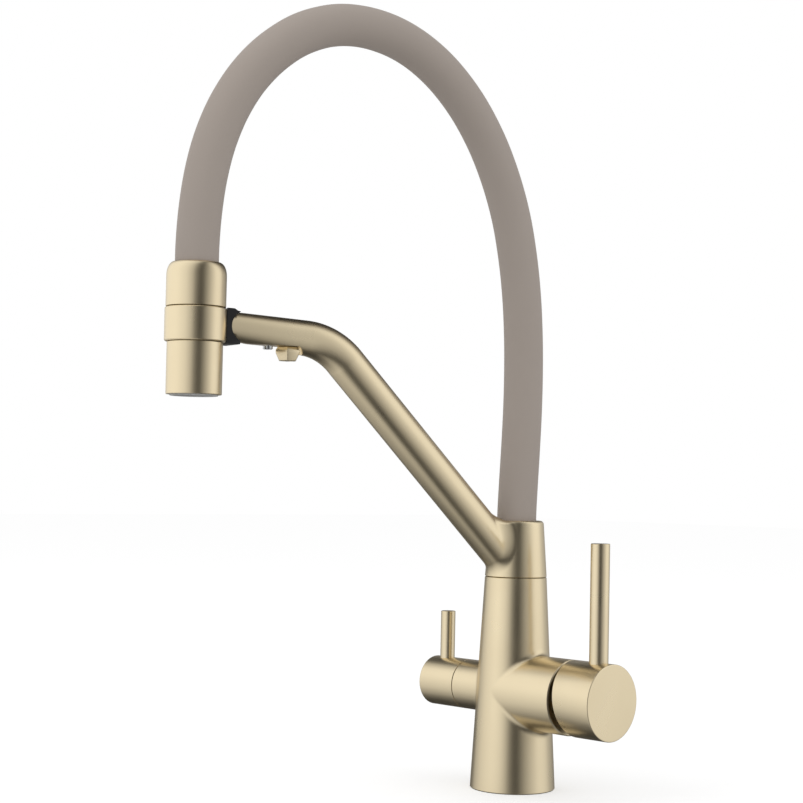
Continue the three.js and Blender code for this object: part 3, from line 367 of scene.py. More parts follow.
def new_object(name: str, mesh: bpy.types.Mesh | bpy.types.Curve) -> bpy.types.Object:
    """Puts a mesh or a curve in the scene.

    Args:
        name: The object's name.
        mesh: Its mesh or curve.

    Returns:
        The object, at the origin.
    """
    obj = bpy.data.objects.new(name, mesh)
    bpy.context.scene.collection.objects.link(obj)
    return obj


def finished(name: str, bm: bmesh.types.BMesh, place: Matrix = Matrix.Identity(4),
             crisp: float = 30.0) -> bpy.types.Object:
    """Turns a bmesh into an object, smooth except across crisp edges.

    Args:
        name: The object's name.
        bm: The shape, in metres. It is freed.
        place: Where the shape goes, applied to its mesh.
        crisp: Edges that turn more than this many degrees stay sharp.

    Returns:
        The object.
    """
    bmesh.ops.transform(bm, matrix=place, verts=bm.verts)
    mesh = bpy.data.meshes.new(name)
    bm.to_mesh(mesh)
    bm.free()
    mesh.shade_smooth()
    mesh.set_sharp_from_angle(angle=math.radians(crisp))
    return new_object(name, mesh)


def evaluated(obj: bpy.types.Object) -> bmesh.types.BMesh:
    """Applies an object's modifiers and removes the object.

    Args:
        obj: An object with modifiers.

    Returns:
        The resulting shape.
    """
    ready = obj.evaluated_get(bpy.context.evaluated_depsgraph_get())
    bm = bmesh.new()
    bm.from_mesh(ready.to_mesh())
    ready.to_mesh_clear()
    mesh = obj.data
    bpy.data.objects.remove(obj)
    bpy.data.meshes.remove(mesh)
    return bm


def turned(corners: Sequence[Corner], steps: int = 96, segments: int = 4) -> bmesh.types.BMesh:
    """Spins an outline round the Z axis and rounds its corners.

    Args:
        corners: Radius, height and rounding of each corner, in millimetres, in order. An
            outline that doesn't start on the axis is closed back to its first corner.
        steps: Number of steps round the axis.
        segments: Number of segments in each rounding.

    Returns:
        The closed shape.
    """
    bm = bmesh.new()
    closed = corners[0][0] > 0
    points: list[tuple[float, float]] = []
    for i, (radius, height, rounding) in enumerate(corners):
        here = Vector((radius, height))
        around = [corners[i - 1] if i or closed else None,
                  corners[(i + 1) % len(corners)] if i + 1 < len(corners) or closed else None]
        stays = [None if c is None else Vector(c[:2]) for c in around]
        if rounding and stays[0] is not None:
            points.append(tuple(here.lerp(stays[0], support(here, stays[0], rounding))))
        points.append((radius, height))
        if rounding and stays[1] is not None:
            points.append(tuple(here.lerp(stays[1], support(here, stays[1], rounding))))
    verts = [bm.verts.new((r * MM, 0, h * MM)) for r, h in points]
    edges = [bm.edges.new(pair) for pair in zip(verts, verts[1:])]
    if closed:
        edges.append(bm.edges.new((verts[-1], verts[0])))
    bmesh.ops.spin(bm, geom=verts + edges, cent=(0, 0, 0), axis=(0, 0, 1), angle=2 * math.pi,
                   steps=steps, use_merge=True)
    bmesh.ops.remove_doubles(bm, verts=bm.verts, dist=1e-7)
    bmesh.ops.recalc_face_normals(bm, faces=bm.faces)
    for radius, height, rounding in corners:
        if rounding:
            soften(bm, ring_edges(bm, radius, height), rounding, segments)
    return bm


def soften(bm: bmesh.types.BMesh, edges: Sequence[bmesh.types.BMEdge], offset: float,
           segments: int = 3) -> None:
    """Rounds edges of a shape.

    Args:
        bm: The shape.
        edges: Its edges to round.
        offset: How far the rounding reaches, in millimetres.
        segments: Number of segments in the rounding.
    """
    bmesh.ops.bevel(bm, geom=edges, offset=offset * MM, offset_type="OFFSET", segments=segments,
                    profile=0.5, affect="EDGES", material=-1)


def support(here: Vector, there: Vector, rounding: float) -> float:
    """The share of the way to the next corner at which a holding loop goes."""
    return min(1.7 * rounding / max((there - here).length, 1e-6), 0.48)


def ring_edges(bm: bmesh.types.BMesh, radius: float, height: float) -> list[bmesh.types.BMEdge]:
    """Finds the edges of one ring of a turned shape.

    Args:
        bm: The turned shape.
        radius: Radius of the ring, in millimetres.
        height: Height of the ring, in millimetres.

    Returns:
        Its edges.
    """
    ring = {v for v in bm.verts if abs(math.hypot(v.co.x, v.co.y) - radius * MM) < 3e-6
            and abs(v.co.z - height * MM) < 3e-6}
    return [e for e in bm.edges if e.verts[0] in ring and e.verts[1] in ring]


def cylinder(radius: float, start: float, end: float, steps: int = 64,
             place: Matrix = Matrix.Identity(4), end_radius: float | None = None,
             ) -> bmesh.types.BMesh:
    """A round bar or cone on the Z axis of a place.

    Args:
        radius: Radius at its start, in millimetres.
        start: Height of its start.
        end: Height of its end.
        steps: Number of sides.
        place: Where it goes, in metres.
        end_radius: Radius at its end, if it tapers.

    Returns:
        The shape.
    """
    bm = bmesh.new()
    bmesh.ops.create_cone(
        bm, cap_ends=True, segments=steps, radius1=radius * MM,
        radius2=(radius if end_radius is None else end_radius) * MM, depth=(end - start) * MM,
        matrix=place @ at(0, 0, (start + end) / 2))
    return bm


def box(low: Sequence[float], high: Sequence[float]) -> bmesh.types.BMesh:
    """A block between two corners, in millimetres."""
    bm = bmesh.new()
    middle = [(a + b) / 2 * MM for a, b in zip(low, high)]
    size = Matrix.Diagonal([(b - a) * MM for a, b in zip(low, high)] + [1])
    bmesh.ops.create_cube(bm, size=1, matrix=Matrix.Translation(middle) @ size)
    return bm


def join(shapes: Iterable[bmesh.types.BMesh]) -> bmesh.types.BMesh:
    """Puts several shapes in one, without fusing them.

    Args:
        shapes: The shapes. They are freed.

    Returns:
        The one shape.
    """
    whole = bmesh.new()
    for shape in shapes:
        mesh = bpy.data.meshes.new("part")
        shape.to_mesh(mesh)
        shape.free()
        whole.from_mesh(mesh)
        bpy.data.meshes.remove(mesh)
    return whole


def combined(bm: bmesh.types.BMesh, tools: Iterable[bmesh.types.BMesh],
             operation: str = "DIFFERENCE") -> bmesh.types.BMesh:
    """Cuts tools from a shape, or keeps or adds them.

    Args:
        bm: The shape. It is freed.
        tools: The closed tools. They are freed.
        operation: DIFFERENCE, INTERSECT or UNION.

    Returns:
        The result.
    """
    base = finished("base", bm)
    cutters = [finished("cutter", tool) for tool in tools]
    for cutter in cutters:
        cut = base.modifiers.new("cut", "BOOLEAN")
        cut.operation = operation
        cut.solver = "EXACT"
        cut.object = cutter
    result = evaluated(base)
    for cutter in cutters:
        mesh = cutter.data
        bpy.data.objects.remove(cutter)
        bpy.data.meshes.remove(mesh)
    return result


def gradient(surface: Field, points: np.ndarray, step: float = 0.004) -> np.ndarray:
    """The direction in which a distance grows, at each point.

    Args:
        surface: The distance from a surface, in millimetres.
        points: Points, one to a row.
        step: Distance over which it is measured.

    Returns:
        The gradient at each point.
    """
    axes = np.eye(3) * step
    return np.stack([(surface(points + a) - surface(points - a)) / (2 * step) for a in axes], 1)


def filleted(first: Field, second: Field, radius: float) -> Field:
    """Joins two surfaces with a fillet, as a ball rolling along both would leave it.

    Args:
        first: Distance from one surface.
        second: Distance from the other.
        radius: Radius of the ball, in millimetres.

    Returns:
        The distance from the joined surface.
    """

    def surface(points: np.ndarray) -> np.ndarray:
        """Distance from the joined surface at each point."""
        a, b = first(points), second(points)
        result = np.minimum(a, b)
        near = (a < radius) & (b < radius)
        if near.any():
            spot = points[near]
            ga, gb = gradient(first, spot), gradient(second, spot)
            lean = np.sum(ga * gb, 1) / np.maximum(
                np.linalg.norm(ga, axis=1) * np.linalg.norm(gb, axis=1), 1e-9)
            lean = np.clip(lean, -0.9999, 0.9999)
            u, v = radius - a[near], radius - b[near]
            away = np.sqrt(np.maximum(u * u + v * v - 2 * u * v * lean, 0) / (1 - lean * lean))
            rolled = (u > v * lean) & (v > u * lean)
            result[near] = np.where(rolled, radius - away, result[near])
        return result

    return surface


def cast(bm: bmesh.types.BMesh, surface: Field, voxel: float) -> bmesh.types.BMesh:
    """Fuses overlapping shapes into one skin and draws the skin onto a smooth surface.

    Args:
        bm: The rough shapes. They are freed.
        surface: Distance from the smooth surface, in millimetres.
        voxel: Size of the skin's faces, in millimetres.

    Returns:
        The skin.
    """
    rough = finished("rough", bm)
    skin = rough.modifiers.new("skin", "REMESH")
    skin.mode = "VOXEL"
    skin.voxel_size = voxel * MM
    result = evaluated(rough)
    result.verts.ensure_lookup_table()
    points = np.array([v.co for v in result.verts]) / MM
    links = np.array([[e.verts[0].index, e.verts[1].index] for e in result.edges])
    count = np.bincount(links.ravel(), minlength=len(points))[:, None]
    for _ in range(SKIN_ROUNDS):
        middle = np.zeros_like(points)
        np.add.at(middle, links[:, 0], points[links[:, 1]])
        np.add.at(middle, links[:, 1], points[links[:, 0]])
        out = gradient(surface, points)
        out /= np.maximum(np.linalg.norm(out, axis=1, keepdims=True), 1e-6)
        drift = middle / count - points
        points += SKIN_DRIFT * (drift - out * np.sum(drift * out, 1, keepdims=True))
        for _ in range(2):
            slope = gradient(surface, points)
            steep = np.maximum(np.sum(slope * slope, 1), 0.2)
            points -= slope * np.clip(surface(points) / steep, -2, 2)[:, None]
    for vert, point in zip(result.verts, points):
        vert.co = Vector(point * MM)
    return result


def sliced(bm: bmesh.types.BMesh, point: Sequence[float], normal: Sequence[float],
           keep_outer: bool = False) -> list[bmesh.types.BMEdge]:
    """Cuts a shape with a plane and keeps one side.

    Args:
        bm: The shape.
        point: A point of the plane, in metres.
        normal: The plane's normal.
        keep_outer: Keeps the side that the normal points to, rather than the other one.

    Returns:
        The edges of the cut.
    """
    cut = bmesh.ops.bisect_plane(
        bm, geom=bm.verts[:] + bm.edges[:] + bm.faces[:], dist=1e-7, plane_co=point,
        plane_no=normal, clear_outer=not keep_outer, clear_inner=keep_outer)
    return only(cut["geom_cut"], bmesh.types.BMEdge)


def crisp_end(bm: bmesh.types.BMesh, centre: Sequence[float], outwards: Sequence[float],
              chamfer: float, radius: float) -> None:
    """Cuts a skin off flat and gives the cut a small chamfer.

    Args:
        bm: The skin.
        centre: Centre of the flat end, in millimetres.
        outwards: Direction that the end faces.
        chamfer: Width of the chamfer, in millimetres.
        radius: Radius of the end, in millimetres.
    """
    normal = Vector(outwards)
    middle = Vector(centre) * MM
    rim = sliced(bm, middle - normal * chamfer * MM, normal)
    lid = bmesh.ops.contextual_create(bm, geom=rim)["faces"]
    pulled = bmesh.ops.extrude_face_region(bm, geom=lid)["geom"]
    verts = only(pulled, bmesh.types.BMVert)
    bmesh.ops.delete(bm, geom=lid, context="FACES_ONLY")
    bmesh.ops.translate(bm, verts=verts, vec=normal * chamfer * MM)
    shrink = 1 - chamfer / radius
    spread = [1 if abs(n) > 0.5 else shrink for n in normal]
    bmesh.ops.scale(bm, vec=spread, space=Matrix.Translation(-middle), verts=verts)
    bmesh.ops.recalc_face_normals(bm, faces=bm.faces)


class Workshop:
    """Keeps the finishes, and puts each made piece on its body in its finish."""

    def __init__(self) -> None:
        """Builds every finish once."""
        texture = texture_group()
        self.materials = {finish.slot: finish.build(texture) for finish in FINISHES}

    def paint(self, obj: bpy.types.Object, slot: Slot) -> None:
        """Gives a piece the finish of a slot."""
        obj.data.materials.clear()
        obj.data.materials.append(self.materials[slot])

    def fit(self, obj: bpy.types.Object, body: Body, slot: Slot, *nodes: str) -> None:
        """Paints a piece, puts it on its body and lets it stand for its nodes.

        Args:
            obj: The piece.
            body: The body that it rides on.
            slot: The slot of its finish.
            *nodes: The nodes that it stands for.
        """
        self.paint(obj, slot)
        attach(obj, body.value)
        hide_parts(*nodes)
        LOG.info("%s on %s: %d faces", obj.name, body.value, len(obj.data.polygons))


def valve_place(side: int) -> Matrix:
    """The place of a valve, whose Z axis looks out along X and whose X axis looks up.

    Args:
        side: 1 for the mixer, -1 for the filter valve.

    Returns:
        The place, in metres.
    """
    return Matrix(((0, 0, side, 0), (0, -side, 0, 0), (1, 0, 0, VALVE_AXIS * MM), (0, 0, 0, 1)))


# ---------------------------------------------------------------- castings


@dataclass
class TapBody:
    """The tapered column with its two valve bosses, cast in one piece."""

    base_radius: float = 25.2
    shoulder_radius: float = 18.4
    height: float = 124.8
    base_chamfer: float = 0.6
    shoulder_chamfer: float = 0.25
    mixer_radius: float = 21.9
    mixer_end: float = 46.0
    mixer_chamfer: float = 0.6
    filter_radius: float = 14.9
    filter_end: float = 37.4
    filter_chamfer: float = 0.25
    mixer_fillet: float = 4.0
    filter_fillet: float = 2.4
    cavity_radius: float = 19.0
    cavity_height: float = 22.0
    groove_inner: float = 21.9
    groove_outer: float = 24.2
    groove_depth: float = 1.5
    socket_spread: float = 10.5
    socket_start: float = 21.5
    inlet_radius: float = 5.0
    inlet_end: float = 34.0
    stud_radius: float = 3.4
    stud_end: float = 32.0
    mixer_bore: float = 18.2
    mixer_floor: float = 4.0
    filter_bore: float = 9.6
    filter_floor: float = 14.0
    spigot_bore: float = 11.0
    spigot_floor: float = 105.8
    seat_radius: float = 17.0
    seat_height: float = 123.7
    voxel: float = 0.8

    def column_distance(self, points: np.ndarray) -> np.ndarray:
        """Distance from the side of the column."""
        fall = (self.shoulder_radius - self.base_radius) / self.height
        radius = self.base_radius + fall * points[:, 2]
        return (np.hypot(points[:, 0], points[:, 1]) - radius) / math.hypot(1, fall)

    def boss_distance(self, radius: float) -> Field:
        """Distance from the side of a boss of that radius."""
        return lambda points: np.hypot(points[:, 1], points[:, 2] - VALVE_AXIS) - radius

    def surface(self, points: np.ndarray) -> np.ndarray:
        """Distance from the outside of the casting."""
        mixer = filleted(self.column_distance, self.boss_distance(self.mixer_radius),
                         self.mixer_fillet)
        filtered = filleted(self.column_distance, self.boss_distance(self.filter_radius),
                            self.filter_fillet)
        result = np.empty(len(points))
        right = points[:, 0] >= 0
        result[right] = mixer(points[right])
        result[~right] = filtered(points[~right])
        return result

    def hollows(self) -> list[bmesh.types.BMesh]:
        """The cavity under the base with its threaded sockets, the valve bores and the top bore."""
        groove = [(self.groove_inner, -BEYOND, 0), (self.groove_outer, -BEYOND, 0),
                  (self.groove_outer, self.groove_depth, 0),
                  (self.groove_inner, self.groove_depth, 0)]
        out = self.socket_spread
        inlets = [threaded(self.inlet_radius, self.socket_start, self.inlet_end, at(x, y))
                  for x, y in ((0, out), (0, -out), (-out, 0))]
        top = [(0, self.spigot_floor, 0), (self.spigot_bore, self.spigot_floor, 0),
               (self.spigot_bore, self.seat_height, 0), (self.seat_radius, self.seat_height, 0),
               (self.seat_radius, self.height + 1, 0), (0, self.height + 1, 0)]
        return [
            cylinder(self.cavity_radius, -BEYOND, self.cavity_height),
            turned(groove, 64),
            *inlets,
            threaded(self.stud_radius, self.socket_start, self.stud_end, at(out)),
            cylinder(self.mixer_bore, self.mixer_floor, self.mixer_end + 1, 64, valve_place(1)),
            cylinder(self.filter_bore, self.filter_floor, self.filter_end + 1, 48,
                     valve_place(-1)),
            turned(top, 64),
        ]

    def build(self) -> bpy.types.Object:
        """Casts the body, cuts its ends flat and hollows it."""
        rough = join([
            cylinder(self.base_radius, -4, self.height + 4, 64, end_radius=self.shoulder_radius),
            cylinder(self.mixer_radius, -4, self.mixer_end + 4, 64, valve_place(1)),
            cylinder(self.filter_radius, -4, self.filter_end + 4, 64, valve_place(-1)),
        ])
        skin = cast(rough, self.surface, self.voxel)
        for centre, outwards, chamfer, radius in (
                ((0, 0, 0), (0, 0, -1), self.base_chamfer, self.base_radius),
                ((0, 0, self.height), (0, 0, 1), self.shoulder_chamfer, self.shoulder_radius),
                ((self.mixer_end, 0, VALVE_AXIS), (1, 0, 0), self.mixer_chamfer,
                 self.mixer_radius),
                ((-self.filter_end, 0, VALVE_AXIS), (-1, 0, 0), self.filter_chamfer,
                 self.filter_radius)):
            crisp_end(skin, centre, outwards, chamfer, radius)
        return finished("tap_casting", combined(skin, self.hollows()), crisp=24)

    def dress(self, shop: Workshop) -> None:
        """Builds the casting and fits it to the tap."""
        shop.fit(self.build(), Body.TAP, Slot.CHAMPAGNE, "tap_body")


def threaded(radius: float, start: float, end: float, place: Matrix) -> bmesh.types.BMesh:
    """The inside of a threaded socket, as a stack of shallow grooves.

    Args:
        radius: Radius between the grooves, in millimetres.
        start: Height of the mouth.
        end: Height of the far end.
        place: Where it goes, in metres.

    Returns:
        The shape to cut away.
    """
    pitch, depth = 1.2, 0.35
    rings = [(0, start, 0), (radius + depth, start, 0)]
    height = start + 1.0
    while height + pitch < end:
        rings += [(radius, height, 0), (radius + depth, height + pitch / 2, 0)]
        height += pitch
    shape = turned(rings + [(radius, end, 0), (0, end, 0)], 32)
    bmesh.ops.transform(shape, matrix=place, verts=shape.verts)
    return shape


@dataclass
class SpoutCasting:
    """The collar that turns on the body, and the slanting arm that grows out of it."""

    collar_bottom: float = 125.2
    collar_top: float = 158.5
    collar_low_radius: float = 18.4
    collar_high_radius: float = 16.1
    collar_round: float = 2.0
    collar_chamfer: float = 0.25
    fillet: float = 9.5
    root_height: float = 127.1
    slope: float = 44.15
    corner_reach: float = 134.1
    end_rise: float = 4.4
    bend_tangent: float = 15.0
    radius: float = 11.0
    tip_radius: float = 7.7
    tip_reach: float = 199.3
    cheek_reach: float = 190.5
    cheek_rise: float = 0.7
    notch_reach: float = 193.8
    hose_hole: float = 12.2
    swivel_bore: float = 13.3
    swivel_top: float = 153.0
    outlet_reach: float = 160.3
    flat_height: float = 253.1
    flat_end_radius: float = 8.2
    run_length: float = 56.0
    cut_side: float = 20.0
    cut_beyond: float = 12.0
    mouth_chamfer: float = 0.5
    mouth_clear: float = 9.0
    voxel: float = 0.7

    def __post_init__(self) -> None:
        """Works out the centre line of the arm from its sizes."""
        slope, rise = math.radians(self.slope), math.radians(self.end_rise)
        self.up = np.array([math.cos(slope), math.sin(slope)])
        self.out = np.array([math.cos(rise), math.sin(rise)])
        self.start = np.array([0.0, self.root_height])
        self.corner = self.start + self.up * self.corner_reach / self.up[0]
        self.bend_start = self.corner - self.up * self.bend_tangent
        self.bend_end = self.corner + self.out * self.bend_tangent
        self.bend_radius = self.bend_tangent / math.tan((slope - rise) / 2)
        self.hub = self.bend_start + np.array([self.up[1], -self.up[0]]) * self.bend_radius

    def outer_run(self, reach: float) -> float:
        """Height of the centre line on the outer run, in millimetres."""
        return self.corner[1] + (reach - self.corner[0]) * self.out[1] / self.out[0]

    def radius_at(self, reach: np.ndarray) -> np.ndarray:
        """Radius of the arm, which tapers evenly from the start of its bend to its tip."""
        share = (reach - self.bend_start[0]) / (self.tip_reach - self.bend_start[0])
        return self.radius + (self.tip_radius - self.radius) * np.maximum(share, 0)

    def arm_distance(self, points: np.ndarray) -> np.ndarray:
        """Distance from the outside of the arm."""
        flat = points[:, [0, 2]]
        length = np.linalg.norm(self.bend_start - self.start)
        along = np.clip((flat - self.start) @ self.up, 0, length)[:, None]
        beyond = np.maximum((flat - self.bend_end) @ self.out, 0)[:, None]
        from_hub = flat - self.hub
        angle = np.arctan2(from_hub[:, 0], from_hub[:, 1])
        low = -math.radians(self.slope)
        angle = np.clip(angle, low, -math.radians(self.end_rise))
        arc = self.hub + self.bend_radius * np.stack([np.sin(angle), np.cos(angle)], 1)
        nearest = [self.start + along * self.up, arc, self.bend_end + beyond * self.out]
        return np.min([np.hypot(np.linalg.norm(flat - spot, axis=1), points[:, 1])
                       - self.radius_at(spot[:, 0]) for spot in nearest], 0)

    def collar_distance(self, points: np.ndarray) -> np.ndarray:
        """Distance from the outside of the collar, with its rounded top edge."""
        fall = (self.collar_high_radius - self.collar_low_radius) / (
            self.collar_top - self.collar_bottom)
        radius = self.collar_low_radius + fall * (points[:, 2] - self.collar_bottom)
        side = (np.hypot(points[:, 0], points[:, 1]) - radius) / math.hypot(1, fall)
        top = points[:, 2] - self.collar_top
        u = np.maximum(self.collar_round + side, 0)
        v = np.maximum(self.collar_round + top, 0)
        return np.minimum(-self.collar_round, np.maximum(side, top)) + np.hypot(u, v)

    def rough(self) -> bmesh.types.BMesh:
        """Overlapping bars and balls that roughly fill the collar and the arm."""
        shapes = [cylinder(self.collar_low_radius, self.collar_bottom - 4, self.collar_top, 64,
                           end_radius=self.collar_high_radius)]
        runs = [(self.start, self.bend_start, self.up, self.radius, self.radius),
                (self.bend_end, self.bend_end + self.out * self.run_length, self.out,
                 float(self.radius_at(self.bend_end[0])), self.tip_radius)]
        for first, last, way, wide, narrow in runs:
            turn = Matrix.Rotation(math.atan2(way[0], way[1]), 4, "Y")
            place = at(first[0], 0, first[1]) @ turn
            shapes.append(cylinder(wide, -1, float(np.linalg.norm(last - first)), 48, place,
                                   narrow))
        for angle in np.linspace(-math.radians(self.slope), -math.radians(self.end_rise), 7):
            spot = self.hub + self.bend_radius * np.array([math.sin(angle), math.cos(angle)])
            ball = bmesh.new()
            bmesh.ops.create_icosphere(
                ball, subdivisions=4, radius=float(self.radius_at(spot[0])) * MM,
                matrix=at(spot[0], 0, spot[1]))
            shapes.append(ball)
        return join(shapes)

    def cheeks(self, margin: float) -> bmesh.types.BMesh:
        """The rounded outline of the arm's tip, carried across the arm.

        Args:
            margin: How much larger than the tip it is, in millimetres.

        Returns:
            The shape.
        """
        bm = bmesh.new()
        bmesh.ops.create_cone(bm, cap_ends=True, segments=96, radius1=1, radius2=1,
                              depth=60 * MM, matrix=Matrix.Rotation(math.pi / 2, 4, "X"))
        size = ((self.tip_reach - self.cheek_reach + margin) * MM, 1,
                (self.tip_radius + self.cheek_rise + margin) * MM)
        bmesh.ops.scale(bm, vec=size, verts=bm.verts)
        centre = (self.cheek_reach * MM, 0, self.outer_run(self.cheek_reach) * MM)
        bmesh.ops.translate(bm, vec=centre, verts=bm.verts)
        return bm

    def hollows(self) -> list[bmesh.types.BMesh]:
        """The swivel bore, the hole for the hose, the cut tip and the flat under the arm."""
        side, beyond = self.cut_side, self.tip_reach + self.cut_beyond
        tip = combined(box((self.notch_reach, -side, 230), (beyond, side, 300)),
                       [self.cheeks(0)])
        mouth, rim = self.hose_hole + self.mouth_chamfer, self.collar_top + self.mouth_clear
        bore = turned([(0, 110, 0), (self.swivel_bore, 110, 0),
                       (self.swivel_bore, self.swivel_top, 0),
                       (self.hose_hole, self.swivel_top, 0),
                       (self.hose_hole, self.collar_top - self.mouth_chamfer, 0),
                       (mouth, self.collar_top, 0), (mouth, rim, 0), (0, rim, 0)], 96)
        flat = combined(box((self.outlet_reach, -side, 235), (beyond, side, self.flat_height)),
                        [cylinder(self.flat_end_radius, 235, self.flat_height, 96,
                                  at(self.outlet_reach))], "UNION")
        return [tip, bore, flat]

    def build(self) -> bpy.types.Object:
        """Casts collar and arm, cuts them flat at the seam and hollows them."""
        surface = filleted(self.collar_distance, self.arm_distance, self.fillet)
        skin = cast(self.rough(), surface, self.voxel)
        crisp_end(skin, (0, 0, self.collar_bottom), (0, 0, -1), self.collar_chamfer,
                  self.collar_low_radius)
        return finished("spout_casting", combined(skin, self.hollows()), SPOUT_TURN, crisp=24)

    def dress(self, shop: Workshop) -> None:
        """Builds the casting and fits it to the spout."""
        shop.fit(self.build(), Body.SPOUT, Slot.CHAMPAGNE, "spout_arm")


# ---------------------------------------------------------------- hose


@dataclass
class Hose:
    """The silicone hose that rises from the collar and arches over to the spray head."""

    radius: float = 11.7
    samples: int = 12
    route: tuple[tuple[float, float], ...] = (
        (0, 153), (0, 163), (-0.9, 182), (-2, 202), (-3, 226), (-3.2, 249), (-2.6, 270),
        (-0.8, 293), (2.6, 316), (8.2, 340), (16.8, 363), (28.6, 385), (44.5, 405.5),
        (64.5, 422.5), (87, 433.6), (110, 438), (132, 436.6), (153.5, 429), (172, 416.5),
        (187.5, 400.5), (199.5, 382), (207.8, 362.5), (212.9, 343), (215.8, 323), (217, 304),
        (217, 288.7))

    def centre_line(self) -> list[Vector]:
        """Points close together on the smooth curve through the route, in metres."""
        stops = [Vector((r, 0, z)) * MM for r, z in self.route]
        stops = [2 * stops[0] - stops[1]] + stops + [2 * stops[-1] - stops[-2]]
        points = []
        for before, first, last, after in zip(stops, stops[1:], stops[2:], stops[3:]):
            gaps = [math.sqrt((b - a).length) for a, b in
                    ((before, first), (first, last), (last, after))]
            t1, t2, t3 = gaps[0], gaps[0] + gaps[1], sum(gaps)
            for i in range(self.samples):
                t = t1 + (t2 - t1) * i / self.samples
                a = before.lerp(first, t / t1)
                b = first.lerp(last, (t - t1) / (t2 - t1))
                c = last.lerp(after, (t - t2) / (t3 - t2))
                points.append(a.lerp(b, t / t2).lerp(b.lerp(c, (t - t1) / (t3 - t1)),
                                                     (t - t1) / (t2 - t1)))
        points.append(stops[-2])
        return [SPOUT_TURN @ p for p in points]

    def build(self, line: list[Vector]) -> bpy.types.Object:
        """Makes the tube round a centre line.

        Args:
            line: The points of the centre line, in metres.

        Returns:
            The tube.
        """
        curve = bpy.data.curves.new("hose_line", "CURVE")
        curve.dimensions = "3D"
        curve.bevel_depth = self.radius * MM
        curve.bevel_resolution = 14
        curve.use_fill_caps = True
        spline = curve.splines.new("POLY")
        spline.points.add(len(line) - 1)
        for point, place in zip(spline.points, line):
            point.co = (*place, 1)
        obj = new_object("hose_line", curve)
        mesh = bpy.data.meshes.new_from_object(
            obj.evaluated_get(bpy.context.evaluated_depsgraph_get()))
        bpy.data.objects.remove(obj)
        bpy.data.curves.remove(curve)
        bm = bmesh.new()
        bm.from_mesh(mesh)
        bpy.data.meshes.remove(mesh)
        bmesh.ops.remove_doubles(bm, verts=bm.verts, dist=1e-6)
        bmesh.ops.recalc_face_normals(bm, faces=bm.faces)
        return finished("silicone_hose", bm)

    def dress(self, shop: Workshop) -> None:
        line = self.centre_line()
        hose = self.build(line)
        shop.paint(hose, Slot.SILICONE)
        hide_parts("spray_hose")
        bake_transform(hose)


# ---------------------------------------------------------------- outlet and dock


@dataclass
class FilteredOutlet:
    """The six-sided outlet under the arm."""

    reach: float = 160.3
    top: float = 252.8
    shoulder_depth: float = 2.0
    flat_depth: float = 3.0
    radius: float = 7.6
    top_radius: float = 6.3
    tip_radius: float = 5.2
    tip_height: float = 245.2
    mouth_radius: float = 3.0
    mouth_depth: float = 4.0
    mouth_chamfer: float = 0.3
    edge: float = 0.3
    edge_angle: float = 12.0

    def build(self) -> bpy.types.Object:
        """Turns the six sides, softens their edges and bores the mouth."""
        shape = turned([(0, self.tip_height, 0), (self.tip_radius, self.tip_height, 0),
                        (self.radius, self.top - self.flat_depth, 0),
                        (self.radius, self.top - self.shoulder_depth, 0),
                        (self.top_radius, self.top, 0), (0, self.top, 0)], 6)
        rims = [e for e in shape.edges if len(e.link_faces) == 2
                and e.calc_face_angle(0) > math.radians(self.edge_angle)]
        soften(shape, rims, self.edge)
        floor = self.tip_height + self.mouth_depth
        mouth = turned([(0, self.tip_height - 1, 0),
                        (self.mouth_radius + self.mouth_chamfer, self.tip_height - 0.01, 0),
                        (self.mouth_radius, self.tip_height + self.mouth_chamfer, 0),
                        (self.mouth_radius, floor, 0), (0, floor, 0)], 48)
        return finished("filter_outlet", combined(shape, [mouth]), SPOUT_TURN @ at(self.reach))

    def dress(self, shop: Workshop) -> None:
        """Builds the outlet and fits it to the spout."""
        shop.fit(self.build(), Body.SPOUT, Slot.CHAMPAGNE, "filter_outlet_nozzle")


